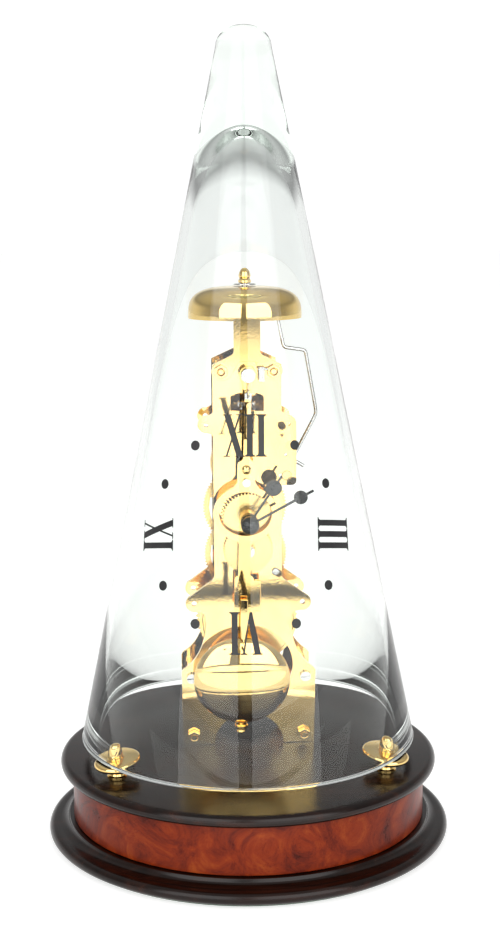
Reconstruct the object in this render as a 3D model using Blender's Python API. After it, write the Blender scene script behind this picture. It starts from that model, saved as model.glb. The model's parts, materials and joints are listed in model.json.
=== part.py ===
"""Skeleton clock under a tall glass cone, on a turned burl-wood base.

Metres, +Z up, the front faces -Y. The origin is the centre of the base's underside.
Lengths below are in millimetres and are turned into metres by the MM factor.
"""

from math import asin, atan2, cos, degrees, hypot, pi, radians, sin

import bmesh
import bpy
from mathutils import Vector
from mathutils.geometry import tessellate_polygon

MM = 0.001
GAP = 0.3  # clearance between pieces that touch on the real clock

# Base
FOOT_R = 94.0
FOOT_TOP = 10.0
DRUM_R = 82.5
DRUM_TOP = 32.9
DECK_R = 88.0
DECK_Z = 38.8
BAIZE_R = 90.0
BAIZE_T = 1.2

# Glass cone
RIM_Z = 46.0
RIM_R = 77.9
CONE_SLOPE = 0.2085
WALL = 3.8
TIP_Z = 362.2
TIP_TOP = 369.6
CAVITY_Z = 293.0
CAVITY_TOP = 325.0
SUPPORT_RADIUS = 70.3
SUPPORT_ANGLES = {"left": 210, "right": 330, "rear": 90}

# Plates
PLATE_T = 2.5
FRONT_Y = -12.8
BACK_Y = 20.0
PLATE_IN = FRONT_Y + PLATE_T
BACK_IN = BACK_Y - PLATE_T
SIDE_X = 15.3
PLATE_TOP = 226.0
SHOULDER_Z = 221.3
CHEEK_X = 21.9
FOOT_X = 31.0
FOOT_SHOULDER_Z = 78.6
OPENING_Z = 81.1
OPENING_R = 20.4
BACK_OPENING_R = 18.6
ARCH_R = 16.4
UPPER_LUG = (18.2, 194.5)
LOWER_LUG = (24.7, 112.1)
LUG_R = 3.85
TOP_PILLAR = (11.6, 218.4)
MID_PILLAR = (26.3, 75.2)
FOOT_PILLAR = (26.1, 44.3)
PILLAR_R = 2.7
SPIGOT_R = 1.4
BOLT_Y = (FRONT_Y + BACK_Y) / 2
BRACKET_BACK = FRONT_Y - GAP
BRACKET_FRONT = BRACKET_BACK - 1.2

# Train, from the hands' axis up to the escapement and down to the barrel
CENTRE_Z = 152.0
CENTRE_MODULE = 0.49
SECOND_MODULE = 0.48
GREAT_MODULE = 0.65
THIRD_MODULE = 0.34
GREAT_TEETH = 72
SECOND_LEAVES = 12
SECOND_TEETH = 80
CENTRE_LEAVES = 10
CENTRE_TEETH = 80
THIRD_LEAVES = 8
THIRD_TEETH = 96
ESCAPE_LEAVES = 8
ESCAPE_TEETH = 40
ESCAPE_R = 12.8
CLICK_PIVOT = (12.6, 111.6)
SECOND_Z = CENTRE_Z - SECOND_MODULE * (SECOND_TEETH + CENTRE_LEAVES) / 2
BARREL_Z = SECOND_Z - GREAT_MODULE * (GREAT_TEETH + SECOND_LEAVES) / 2
THIRD_Z = CENTRE_Z + CENTRE_MODULE * (CENTRE_TEETH + THIRD_LEAVES) / 2
ESCAPE_Z = THIRD_Z + THIRD_MODULE * (THIRD_TEETH + ESCAPE_LEAVES) / 2
FINE_TEETH = 50
ADDENDUM = 0.8
DEDENDUM = 1.15
FINE_DEDENDUM = 1.55
PIVOT_R = 0.6
PIVOT_HOLE_R = 0.8

# Motion work behind the hands
CANNON_TEETH = 18
MINUTE_TEETH = 54
MINUTE_LEAVES = 12
HOUR_TEETH = 48
CANNON_MODULE = 14.7 * 2 / (CANNON_TEETH + MINUTE_TEETH)
HOUR_MODULE = 14.7 * 2 / (MINUTE_LEAVES + HOUR_TEETH)
MINUTE_Z = CENTRE_Z - 14.7
HOUR_HAND_ANGLE = 34.0
MINUTE_HAND_ANGLE = 61.4

# Pendulum and escapement
SWING_Z = 213.0
SWING_NOW = 1.5  # the pendulum is held part way through its swing
ROD_Y = -22.0
ROD_T = 1.2
ROD_HALF = 1.45
RING_Z = 155.3
RING_OUT = (14.4, 12.8)
RING_IN = (11.7, 9.9)
BOB_Z = 76.4
BOB_R = 22.0
BOB_HALF = 6.5
CRUTCH_Z = 203.0
CRUTCH_X = 2.9
ANCHOR_Y = (2.2, 5.0)

# Bell and hammer
BELL_Y = 2.0
BELL_R = 25.9
BELL_RIM = 241.3
BELL_TOP = 255.5
BELL_WALL = 1.4
TONGUE_Z = 247.9
HAMMER_AXIS = (17.2, 180.5)
HAMMER_Y = 5.0

COLOURS = {
    "brass": ((0.80, 0.58, 0.26), 0.16, 1.0),
    "steel": ((0.56, 0.56, 0.57), 0.25, 1.0),
    "blacked": ((0.012, 0.012, 0.014), 0.22, 0.0),
    "glass": ((0.90, 0.97, 0.94), 0.02, 0.0),
    "burl": ((0.26, 0.05, 0.015), 0.22, 0.0),
    "mahogany": ((0.045, 0.012, 0.008), 0.2, 0.0),
    "baize": ((0.02, 0.09, 0.03), 0.95, 0.0),
}


# ---------------------------------------------------------------- scene helpers

def clear_scene():
    for obj in list(bpy.data.objects):
        bpy.data.objects.remove(obj, do_unlink=True)


def material(name):
    found = bpy.data.materials.get(name)
    if found:
        return found
    colour, roughness, metallic = COLOURS[name]
    made = bpy.data.materials.new(name)
    made.use_nodes = True
    shader = made.node_tree.nodes["Principled BSDF"]
    shader.inputs["Base Color"].default_value = (*colour, 1.0)
    shader.inputs["Roughness"].default_value = roughness
    shader.inputs["Metallic"].default_value = metallic
    if name == "glass":
        shader.inputs["Transmission Weight"].default_value = 1.0
    return made


def mesh_object(name, points, faces, finish=None, at=(0, 0, 0), parent=None):
    """A named object from millimetre points; at is its origin, and points are relative to it."""
    mesh = bpy.data.meshes.new(name)
    mesh.from_pydata([tuple(MM * c for c in p) for p in points], [], faces)
    shaped = bmesh.new()
    shaped.from_mesh(mesh)
    bmesh.ops.recalc_face_normals(shaped, faces=shaped.faces)
    shaped.to_mesh(mesh)
    shaped.free()
    mesh.shade_smooth()
    mesh.set_sharp_from_angle(angle=radians(32))
    obj = bpy.data.objects.new(name, mesh)
    bpy.context.scene.collection.objects.link(obj)
    obj.location = [MM * c for c in at]
    if finish:
        mesh.materials.append(material(finish))
    if parent:
        obj.parent = parent
    return obj


def empty(name, at, tilt=0.0):
    obj = bpy.data.objects.new(name, None)
    bpy.context.scene.collection.objects.link(obj)
    obj.location = [MM * c for c in at]
    obj.rotation_euler.y = radians(tilt)
    return obj


def combine(obj, other, operation):
    """Joins a helper to obj, or cuts it away, with an exact Boolean."""
    other.hide_render = True
    other.display_type = "WIRE"
    modifier = obj.modifiers.new(other.name, "BOOLEAN")
    modifier.operation = operation
    modifier.object = other


def join(obj, *others):
    for other in others:
        combine(obj, other, "UNION")


def cut(obj, *others):
    for other in others:
        combine(obj, other, "DIFFERENCE")


# ---------------------------------------------------------------- shapes

def arc(centre, radius, start, end, count):
    """Points on an arc in degrees; radius may be a pair for an ellipse."""
    rx, rz = radius if isinstance(radius, tuple) else (radius, radius)
    angles = [radians(start + (end - start) * i / (count - 1)) for i in range(count)]
    return [(centre[0] + rx * cos(a), centre[1] + rz * sin(a)) for a in angles]


def circle(centre, radius, count=16):
    return arc(centre, radius, 0, 360 * (count - 1) / count, count)


def bend(start, control, end, count=6):
    """A quadratic curve between two outline points."""
    steps = [i / (count - 1) for i in range(count)]
    return [
        tuple((1 - t) ** 2 * a + 2 * t * (1 - t) * b + t * t * c for a, b, c in zip(start, control, end))
        for t in steps
    ]


def prism(name, outline, y0, y1, finish=None, holes=(), at=(0, 0, 0), parent=None):
    """An outline in the XZ plane, with holes, given thickness along Y."""
    loops = [list(outline)] + [list(hole) for hole in holes]
    flat = [p for loop in loops for p in loop]
    count = len(flat)
    caps = tessellate_polygon([[Vector((x, z, 0)) for x, z in loop] for loop in loops])
    faces = [tuple(face) for face in caps] + [tuple(i + count for i in reversed(face)) for face in caps]
    start = 0
    for loop in loops:
        size = len(loop)
        for i in range(size):
            a, b = start + i, start + (i + 1) % size
            faces.append((a, b, b + count, a + count))
        start += size
    points = [(x, y0, z) for x, z in flat] + [(x, y1, z) for x, z in flat]
    return mesh_object(name, points, faces, finish, at, parent)


def box(name, low, high, finish=None, at=(0, 0, 0), parent=None):
    outline = [(low[0], low[2]), (high[0], low[2]), (high[0], high[2]), (low[0], high[2])]
    return prism(name, outline, low[1], high[1], finish, at=at, parent=parent)


def turned(name, profile, axis="Z", count=24, finish=None, at=(0, 0, 0), parent=None, phase=0.0):
    """A profile of (radius, height) turned about an axis. Radius 0 closes it at a pole.

    A profile that never reaches the axis closes on itself, as a ring.
    """
    points = []
    rings = []
    for radius, height in profile:
        if radius == 0:
            rings.append([len(points)])
            points.append((0.0, 0.0, height))
            continue
        rings.append(list(range(len(points), len(points) + count)))
        for i in range(count):
            angle = 2 * pi * i / count + phase
            points.append((radius * cos(angle), radius * sin(angle), height))
    faces = []
    closed = profile[0][0] > 0 and profile[-1][0] > 0
    pairs = list(zip(rings, rings[1:])) + ([(rings[-1], rings[0])] if closed else [])
    for low, high in pairs:
        for i in range(count):
            j = (i + 1) % count
            if len(low) == 1:
                faces.append((low[0], high[i], high[j]))
            elif len(high) == 1:
                faces.append((low[i], low[j], high[0]))
            else:
                faces.append((low[i], low[j], high[j], high[i]))
    if axis == "Y":
        points = [(x, z, y) for x, y, z in points]
    elif axis == "X":
        points = [(z, x, y) for x, y, z in points]
    return mesh_object(name, points, faces, finish, at, parent)


def rod(name, radius, low, high, axis="Y", count=12, finish=None, at=(0, 0, 0), parent=None):
    profile = [(0, low), (radius, low), (radius, high), (0, high)]
    return turned(name, profile, axis, count, finish, at, parent)


def wire(name, path, radius, count=8, finish=None, at=(0, 0, 0), parent=None):
    """A round wire along a path in the XZ plane, mitred at its corners."""
    path = [Vector((p[0], 0, p[1])) for p in path]
    side = Vector((0, 1, 0))
    points = []
    for i, here in enumerate(path):
        before = (here - path[i - 1]).normalized() if i else (path[1] - here).normalized()
        after = (path[i + 1] - here).normalized() if i < len(path) - 1 else before
        along = (before + after).normalized()
        across = side.cross(along) / max(0.3, along.dot(before))
        for k in range(count):
            angle = 2 * pi * k / count
            points.append(tuple(here + radius * (cos(angle) * across + sin(angle) * side)))
    faces = [tuple(reversed(range(count)))]
    for i in range(len(path) - 1):
        for k in range(count):
            j = (k + 1) % count
            a, b = i * count, (i + 1) * count
            faces.append((a + k, a + j, b + j, b + k))
    last = (len(path) - 1) * count
    faces.append(tuple(range(last, last + count)))
    return mesh_object(name, points, faces, finish, at, parent)


def polar(radius, angle):
    return (radius * cos(radians(angle)), radius * sin(radians(angle)))


def gear_outline(teeth, module, tooth_at):
    """A toothed outline with one tooth centred on tooth_at degrees.

    A pinion's leaves have flat tips and room at their roots; a wheel's fine teeth are plain points.
    """
    fine = teeth > FINE_TEETH
    root_r = module * (teeth / 2 - (FINE_DEDENDUM if fine else DEDENDUM))
    tip_r = module * (teeth / 2 + ADDENDUM)
    pitch = 360 / teeth
    outline = []
    for i in range(teeth):
        middle = tooth_at + i * pitch
        if fine:
            outline += [polar(root_r, middle - 0.5 * pitch), polar(tip_r, middle)]
            continue
        outline += [polar(root_r, middle - 0.27 * pitch), polar(tip_r, middle - 0.13 * pitch)]
        outline += [polar(tip_r, middle + 0.13 * pitch), polar(root_r, middle + 0.27 * pitch)]
    return outline


def crossings(count, inner, outer, spoke, turn=0.0, steps=5):
    """The openings between the spokes of a wheel."""
    holes = []
    for i in range(count):
        middle = turn + 360 * (i + 0.5) / count
        half_in = 180 / count - degrees(asin(spoke / 2 / inner))
        half_out = 180 / count - degrees(asin(spoke / 2 / outer))
        hole = arc((0, 0), outer, middle - half_out, middle + half_out, steps)
        hole += arc((0, 0), inner, middle + half_in, middle - half_in, max(3, steps - 3))
        holes.append(hole)
    return holes


def arbor(name, radius, low, high, at, finish=None, pivots=True):
    """A staff that runs between the plates, with thinner pivots that turn in them."""
    profile = [(0, low), (radius, low), (radius, high), (0, high)]
    if pivots:
        profile = [
            (0, FRONT_Y + 0.2),
            (PIVOT_R, FRONT_Y + 0.2),
            (PIVOT_R, low),
            (radius, low),
            (radius, high),
            (PIVOT_R, high),
            (PIVOT_R, BACK_Y - 0.2),
            (0, BACK_Y - 0.2),
        ]
    return turned(name, profile, "Y", 10, finish, at)


# ---------------------------------------------------------------- base and glass

def make_base():
    turned("base_baize", [(0, 0), (BAIZE_R, 0), (BAIZE_R, BAIZE_T), (0, BAIZE_T)], count=48, finish="baize")
    low = BAIZE_T + GAP
    foot = [(0, low), (FOOT_R - 3.2, low)]
    foot += arc((FOOT_R - 2.8, low + 2.8), 2.8, -70, 70, 4)
    foot += [(FOOT_R - 5.2, low + 5.6)]
    foot += arc((FOOT_R - 4.6, FOOT_TOP - 0.2), (4.6, 2.7), 262, 188, 4)
    foot += [(DRUM_R + 2.0, FOOT_TOP), (0, FOOT_TOP)]
    base_foot = turned("base_foot", foot, count=44, finish="mahogany")
    drum = [(0, FOOT_TOP + GAP), (DRUM_R - 0.8, FOOT_TOP + GAP), (DRUM_R, FOOT_TOP + 1.2)]
    drum += [(DRUM_R, DRUM_TOP - 0.8), (DRUM_R - 0.8, DRUM_TOP), (0, DRUM_TOP)]
    base_drum = turned("base_drum", drum, count=44, finish="burl")
    middle = (DRUM_TOP + GAP + DECK_Z) / 2
    half = (DECK_Z - DRUM_TOP - GAP) / 2
    deck = [(0, DRUM_TOP + GAP)] + arc((DECK_R - half, middle), half, -90, 90, 5) + [(0, DECK_Z)]
    base_deck = turned("base_deck", deck, count=44, finish="mahogany")
    for name, angle in SUPPORT_ANGLES.items():
        spot = (SUPPORT_RADIUS * cos(radians(angle)), SUPPORT_RADIUS * sin(radians(angle)), 0)
        cut(base_deck, rod("socket_" + name, 2.2, DECK_Z - 4.0, DECK_Z + 1, "Z", 12, at=spot))
        make_glass_support(name, spot)
    for name, side in (("left", -1), ("right", 1)):
        spot = (side * FOOT_PILLAR[0], BOLT_Y, 0)
        shank_hole = rod("bolt_hole_" + name, 1.9, -1, DECK_Z + 1, "Z", 12, at=spot)
        head_hole = rod("bolt_head_hole_" + name, 4.2, -1, 6.5, "Z", 16, at=spot)
        for piece in (base_foot, base_drum, base_deck):
            cut(piece, shank_hole)
        cut(base_foot, head_hole)
        bolt_top = FOOT_PILLAR[1] + 0.4
        bolt = [(0, 2.6), (3.6, 2.6), (3.6, 6.0), (1.55, 6.0), (1.55, bolt_top), (0, bolt_top)]
        turned("movement_bolt_" + name, bolt, count=12, finish="steel", at=spot)


def make_glass_support(name, spot):
    """A turned stand with a flat disc for the glass rim and a rounded button inside it."""
    disc_z = RIM_Z - GAP
    profile = [(0, DECK_Z - 3.5), (1.85, DECK_Z - 3.5), (1.85, DECK_Z + GAP), (3.9, DECK_Z + GAP)]
    profile += [(3.6, disc_z - 3.9), (4.6, disc_z - 3.6), (4.6, disc_z - 3.1), (9.6, disc_z - 2.8)]
    profile += [(10.3, disc_z - 2.2), (10.3, disc_z - 0.6), (9.7, disc_z), (3.0, disc_z)]
    profile += [(2.9, disc_z + 2.4), (2.3, disc_z + 4.9), (1.3, disc_z + 6.6), (0, disc_z + 7.2)]
    turned("glass_support_" + name, profile, count=12, finish="brass", at=spot)


def cone_r(z):
    return RIM_R - CONE_SLOPE * (z - RIM_Z)


def make_glass():
    tip_r = cone_r(TIP_Z)
    outer = [(cone_r(z), z) for z in (RIM_Z + 0.8, 170.0, TIP_Z - 8)]
    cap = arc((0, TIP_Z), (tip_r, TIP_TOP - TIP_Z), 0, 72, 4)
    cavity_r = cone_r(CAVITY_Z) - WALL
    dome = arc((0, CAVITY_Z), (cavity_r, CAVITY_TOP - CAVITY_Z), 76, 0, 5)
    inner = [(cone_r(z) - WALL, z) for z in (170.0, RIM_Z + 0.8)]
    rim = [(cone_r(RIM_Z) - WALL + 0.8, RIM_Z), (cone_r(RIM_Z) - 0.8, RIM_Z)]
    profile = [(0, TIP_TOP)] + cap[::-1] + outer[::-1] + rim[::-1]
    profile += inner[::-1] + dome[::-1] + [(0, CAVITY_TOP)]
    turned("glass_cone", profile, count=40, finish="glass")


# ---------------------------------------------------------------- plates and fasteners

def mirrored(points):
    return [(-x, z) for x, z in points]


def plate_outline():
    """The left edge from the top down, the foot arch, and the right edge back up."""
    lug_x, lug_z = UPPER_LUG
    low_x, low_z = LOWER_LUG
    upper_lug = [(SIDE_X, lug_z + 5.4)] + arc((lug_x, lug_z), LUG_R, 75, -75, 7) + [(SIDE_X, lug_z - 5.4)]
    lower = [(SIDE_X, 126.0), (SIDE_X + 0.7, 123.2), (SIDE_X + 3.0, 121.6)]
    lower += arc((low_x, low_z), LUG_R, 72, -100, 8) + [(21.0, low_z - 4.2), (19.4, 106.0)]
    lower += bend((19.4, 102.0), (20.6, 86.5), (30.4, FOOT_SHOULDER_Z + 0.6), 7)
    lower += [(FOOT_X, FOOT_SHOULDER_Z - 0.6), (FOOT_X + 0.1, DECK_Z + GAP), (ARCH_R, DECK_Z + GAP)]
    cheek = [(SIDE_X, 199.9)] + arc((lug_x - 0.15, lug_z), LUG_R, 80, 0, 5)
    cheek += arc((CHEEK_X - 2.0, 168.5), 2.0, 0, -90, 4) + [(SIDE_X, 166.5)]
    left = mirrored([(4.75, PLATE_TOP), (SIDE_X, SHOULDER_Z)] + upper_lug + lower)
    right = [(4.75, PLATE_TOP), (SIDE_X, SHOULDER_Z)] + cheek + lower
    arch = arc((0, DECK_Z + GAP), ARCH_R, 172, 8, 13)
    return left + arch + right[::-1]


def plate_holes(front):
    holes = [circle((0, OPENING_Z), OPENING_R if front else BACK_OPENING_R, 28)]
    for side in (-1, 1):
        holes.append(circle((side * UPPER_LUG[0], UPPER_LUG[1]), 1.2, 8))
        holes.append(circle((side * LOWER_LUG[0], LOWER_LUG[1]), 1.2, 8))
        for x, z in (TOP_PILLAR, MID_PILLAR, FOOT_PILLAR):
            holes.append(circle((side * x, z), SPIGOT_R + GAP, 8))
    for z in (SECOND_Z, THIRD_Z, ESCAPE_Z, SWING_Z):
        holes.append(circle((0, z), PIVOT_HOLE_R, 8))
    holes.append(circle(HAMMER_AXIS, PIVOT_HOLE_R, 8))
    holes.append(circle((0, CENTRE_Z), 1.4 if front else PIVOT_HOLE_R, 10))
    holes.append(circle((0, BARREL_Z), PIVOT_HOLE_R if front else 2.4, 10))
    if front:
        window = [(-7.4, 200.4), (7.4, 200.4), (7.4, 206.6)] + arc((0, 206.6), (7.4, 2.2), 20, 160, 7)
        holes.append(window + [(-7.4, 206.6)])
        holes.append(circle((0, 217.2), 1.5, 8))
        holes.append(circle((0, MINUTE_Z), 1.5, 8))
    else:
        holes.append(circle(CLICK_PIVOT, 1.3, 10))
    return holes


def make_plates():
    front = prism("front_plate", plate_outline(), FRONT_Y, PLATE_IN, "brass", plate_holes(True))
    join(front, rod("plate_stud", 1.8, FRONT_Y - 0.8, FRONT_Y + 0.5, "Y", 10, at=(12.4, 0, 126.6)))
    prism("back_plate", plate_outline(), BACK_IN, BACK_Y, "brass", plate_holes(False))


def make_pillar(name, spot, reach, tapped):
    """A pillar between the plates. Its ends pass through them; a tapped one is bored for a screw."""
    x, z = spot
    low, high = PLATE_IN + GAP, BACK_IN - GAP
    profile = [(0, BACK_Y + 0.7), (SPIGOT_R, BACK_Y + 0.7), (SPIGOT_R, high), (PILLAR_R, high)]
    profile += [(PILLAR_R, high - 1.6), (PILLAR_R - 0.6, high - 2.4), (PILLAR_R - 0.6, low + 2.4)]
    profile += [(PILLAR_R, low + 1.6), (PILLAR_R, low)]
    if tapped:
        profile += [(1.65, low), (1.65, low + 7), (0, low + 7)]
    else:
        profile += [(SPIGOT_R, low), (SPIGOT_R, reach), (0, reach)]
    return turned(name, profile, "Y", 8, "brass", at=(x, 0, z))


def make_nut(name, spot, back, thick, finish="brass"):
    """A hexagonal nut with a chamfered front, bored to clear its thread."""
    bore = SPIGOT_R + GAP
    front = back - thick
    profile = [(bore, back), (3.25, back), (3.25, front + 0.6), (2.6, front), (bore, front)]
    return turned(name, profile, "Y", 6, finish, at=(spot[0], 0, spot[1]), phase=radians(30))


def make_screw(name, spot, seat, head_r, head_h, shank_r, end, finish="steel", turn=90, parent=None, y_at=0):
    """A slotted cheese-head screw, head towards the front. seat and end are Y positions."""
    front = seat - head_h
    profile = [(0, end), (shank_r, end), (shank_r, seat), (head_r, seat), (head_r, front + 0.35)]
    profile += [(head_r - 0.35, front), (0, front)]
    at = (spot[0], y_at, spot[1])
    screw = turned(name, profile, "Y", 10, finish, at=at, parent=parent)
    slot = box(name + "_slot", (-head_r - 1, front - 1, -0.32), (head_r + 1, front + 0.75, 0.32))
    slot.location = screw.location
    slot.rotation_euler.y = radians(turn)
    slot.parent = parent
    cut(screw, slot)
    return screw


def make_frame_fasteners():
    for name, side in (("left", -1), ("right", 1)):
        top = (side * TOP_PILLAR[0], TOP_PILLAR[1])
        middle = (side * MID_PILLAR[0], MID_PILLAR[1])
        foot = (side * FOOT_PILLAR[0], FOOT_PILLAR[1])
        make_pillar("pillar_top_" + name, top, FRONT_Y - 3.9, False)
        make_pillar("pillar_middle_" + name, middle, 0, True)
        bottom = make_pillar("pillar_foot_" + name, foot, FRONT_Y - 2.8, False)
        tapping = (foot[0], BOLT_Y, foot[1])
        cut(bottom, rod("foot_tapping_" + name, 1.9, -6, 0.8, "Z", 12, at=tapping))
        make_nut("nut_top_" + name, top, BRACKET_FRONT - GAP, 2.4)
        make_nut("nut_foot_" + name, foot, FRONT_Y - GAP, 2.7)
        make_screw("screw_middle_" + name, middle, FRONT_Y - GAP, 2.5, 1.7, 1.3, PLATE_IN + 6, turn=84)


# ---------------------------------------------------------------- bell


def make_bell():
    half = 5.9
    x, z = TOP_PILLAR
    ear = [(half, 226.6), (x + 2.4, z + 3.6)] + arc((x, z), 4.1, 40, -90, 6)
    ear += [(x - 2.6, z - 3.6), (3.4, 222.7)]
    strip_top = TONGUE_Z + 1.3
    outline = [(half, strip_top)] + ear + mirrored(ear)[::-1] + [(-half, strip_top)]
    holes = [circle((side * x, z), SPIGOT_R + GAP, 10) for side in (-1, 1)]
    bracket = prism("bell_bracket", outline, BRACKET_FRONT, BRACKET_BACK, "brass", holes)
    tongue_top = TONGUE_Z + 1.2
    width = half - 0.1
    root_y = BRACKET_FRONT + 0.5
    flat = [(-width, root_y), (width, root_y)] + arc((0, BELL_Y), width, 0, 180, 9)
    count = len(flat)
    points = [(px, py, TONGUE_Z) for px, py in flat] + [(px, py, tongue_top) for px, py in flat]
    faces = [tuple(range(count)), tuple(range(count, 2 * count))]
    faces += [(i, (i + 1) % count, (i + 1) % count + count, i + count) for i in range(count)]
    join(bracket, mesh_object("bell_tongue", points, faces))
    stud = [(0, TONGUE_Z - 2.0), (3.0, TONGUE_Z - 2.0), (3.0, TONGUE_Z + 0.4), (1.45, TONGUE_Z + 0.4)]
    seat = BELL_TOP - BELL_WALL - 0.8
    stud += [(1.45, tongue_top - 0.2), (3.2, tongue_top - 0.2), (3.2, seat), (1.45, seat)]
    stud += [(1.45, 260.4), (0, 260.4)]
    join(bracket, turned("bell_stud", stud, count=12, at=(0, BELL_Y, 0)))

    outer = dome_profile(BELL_R, BELL_TOP)
    inner = dome_profile(BELL_R - BELL_WALL, BELL_TOP - BELL_WALL)
    turned("bell", outer + inner[::-1], count=28, finish="brass", at=(0, BELL_Y, 0))

    washer = [(1.75, BELL_TOP + GAP), (5.1, BELL_TOP + GAP), (5.1, BELL_TOP + 0.9), (1.75, BELL_TOP + 0.9)]
    turned("bell_washer", washer, count=20, finish="steel", at=(0, BELL_Y, 0))
    seat = BELL_TOP + 0.9 + GAP
    nut = [(1.75, seat), (2.9, seat), (2.9, 258.2), (2.5, 258.6)]
    nut += arc((0, 259.0), (2.75, 4.5), 10, 75, 5) + [(0, 263.5), (0, 260.8), (1.75, 260.8)]
    make_acorn(nut)


def dome_profile(radius, top):
    """The bell's curve from its rim to the hole in its crown."""
    angles = [radians(a) for a in (0, 10, 24, 38, 52, 66, 80)]
    curve = [(radius * cos(a) ** 0.6, BELL_RIM + (top - BELL_RIM) * sin(a) ** 0.6) for a in angles]
    return curve + [(1.75, top)]


def make_acorn(profile):
    """The domed nut on the bell: an outer skin to a pole, and a blind bore from below."""
    outer = [point for point in profile if point[0] > 1.75]
    body = [(0, profile[0][1])] + outer + [(0, 263.5)]
    nut = turned("bell_acorn_nut", body, count=16, finish="brass", at=(0, BELL_Y, 0))
    cut(nut, rod("acorn_bore", 1.75, profile[0][1] - 1, 260.8, "Z", 12, at=(0, BELL_Y, 0)))


def make_hammer():
    """The hammer's arbor, wire and tail in one, and the head that the wire carries."""
    ax, az = HAMMER_AXIS
    staff = arbor("hammer", 1.1, PLATE_IN + 0.4, BACK_IN - 0.4, (ax, 0, az), "steel")
    hub = rod("hammer_hub", 3.4, HAMMER_Y - 2.2, HAMMER_Y + 2.2, "Y", 12, at=(ax, 0, az))
    path = [(17.2, 180.5), (20.6, 176.9), (22.3, 176.9), (23.7, 179.2), (32.4, 195.4), (33.1, 197.3)]
    path += [(32.8, 199.4), (28.4, 224.2), (27.8, 225.6), (26.2, 226.3), (19.4, 227.2), (18.1, 227.8)]
    path += [(17.6, 229.0), (15.5, 238.6), (15.4, 240.0), (15.4, 247.4)]
    arm = wire("hammer_wire", path, 0.85, at=(0, HAMMER_Y, 0))
    tail = wire("hammer_tail", [(17.6, 177.9), (27.1, 172.3)], 0.8, at=(0, HAMMER_Y, 0))
    join(staff, hub, arm, tail)
    head = rod("hammer_head", 2.3, 12.6, 20.9, "X", 14, "brass", at=(0, HAMMER_Y, 244.4))
    cut(head, rod("hammer_head_hole", 1.15, -4, 2.5, "Z", 10, at=(15.4, HAMMER_Y, 244.4)))


# ---------------------------------------------------------------- going train

def wheel(name, teeth, module, y0, y1, at, tooth_at, spokes=5, hub=3.2, rim=0.86, finish="brass"):
    pitch_r = teeth * module / 2
    holes = crossings(spokes, hub, pitch_r * rim, 1.6, 90) if spokes else []
    return prism(name, gear_outline(teeth, module, tooth_at), y0, y1, finish, holes, at=at)


def pinion(name, leaves, module, y0, y1, at, tooth_at):
    return prism(name, gear_outline(leaves, module, tooth_at), y0, y1, at=at)


def make_train():
    """Each wheel has a gap facing up to the pinion that it drives, and that pinion has a leaf facing down."""
    gap_up = lambda teeth: 90 + 180 / teeth

    at = (0, 0, SECOND_Z)
    second = wheel("second_wheel", SECOND_TEETH, SECOND_MODULE, 9.0, 10.2, at, gap_up(SECOND_TEETH))
    join(second, arbor("second_arbor", 1.0, PLATE_IN + 0.4, BACK_IN - 0.4, at))
    join(second, pinion("second_pinion", SECOND_LEAVES, GREAT_MODULE, 2.6, 6.0, at, -90))

    at = (0, 0, CENTRE_Z)
    centre = wheel("centre_wheel", CENTRE_TEETH, CENTRE_MODULE, 14.0, 15.2, at, gap_up(CENTRE_TEETH))
    shaft = [(0, -33.4), (1.0, -33.4), (1.0, 17.1), (PIVOT_R, 17.1)]
    shaft += [(PIVOT_R, BACK_Y - 0.2), (0, BACK_Y - 0.2)]
    join(centre, turned("centre_arbor", shaft, "Y", 12, at=at))
    join(centre, pinion("centre_pinion", CENTRE_LEAVES, SECOND_MODULE, 7.8, 11.4, at, -90))

    at = (0, 0, THIRD_Z)
    third = wheel("third_wheel", THIRD_TEETH, THIRD_MODULE, 10.0, 11.1, at, gap_up(THIRD_TEETH), hub=2.8)
    join(third, arbor("third_arbor", 1.0, PLATE_IN + 0.4, BACK_IN - 0.4, at))
    join(third, pinion("third_pinion", THIRD_LEAVES, CENTRE_MODULE, 12.6, 16.4, at, -90))

    at = (0, 0, ESCAPE_Z)
    outline = []
    pitch = 360 / ESCAPE_TEETH
    for i in range(ESCAPE_TEETH):
        outline.append(polar(ESCAPE_R - 1.35, i * pitch))
        outline.append(polar(ESCAPE_R - 1.35, (i + 0.45) * pitch))
        outline.append(polar(ESCAPE_R, (i + 0.68) * pitch))
    holes = crossings(4, 2.4, ESCAPE_R - 2.6, 1.3, 45)
    escape = prism("escape_wheel", outline, 3.2, 4.2, "brass", holes, at=at)
    join(escape, arbor("escape_arbor", 0.8, PLATE_IN + 0.4, BACK_IN - 0.4, at))
    join(escape, pinion("escape_pinion", ESCAPE_LEAVES, THIRD_MODULE, 8.8, 12.4, at, -90))


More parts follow.
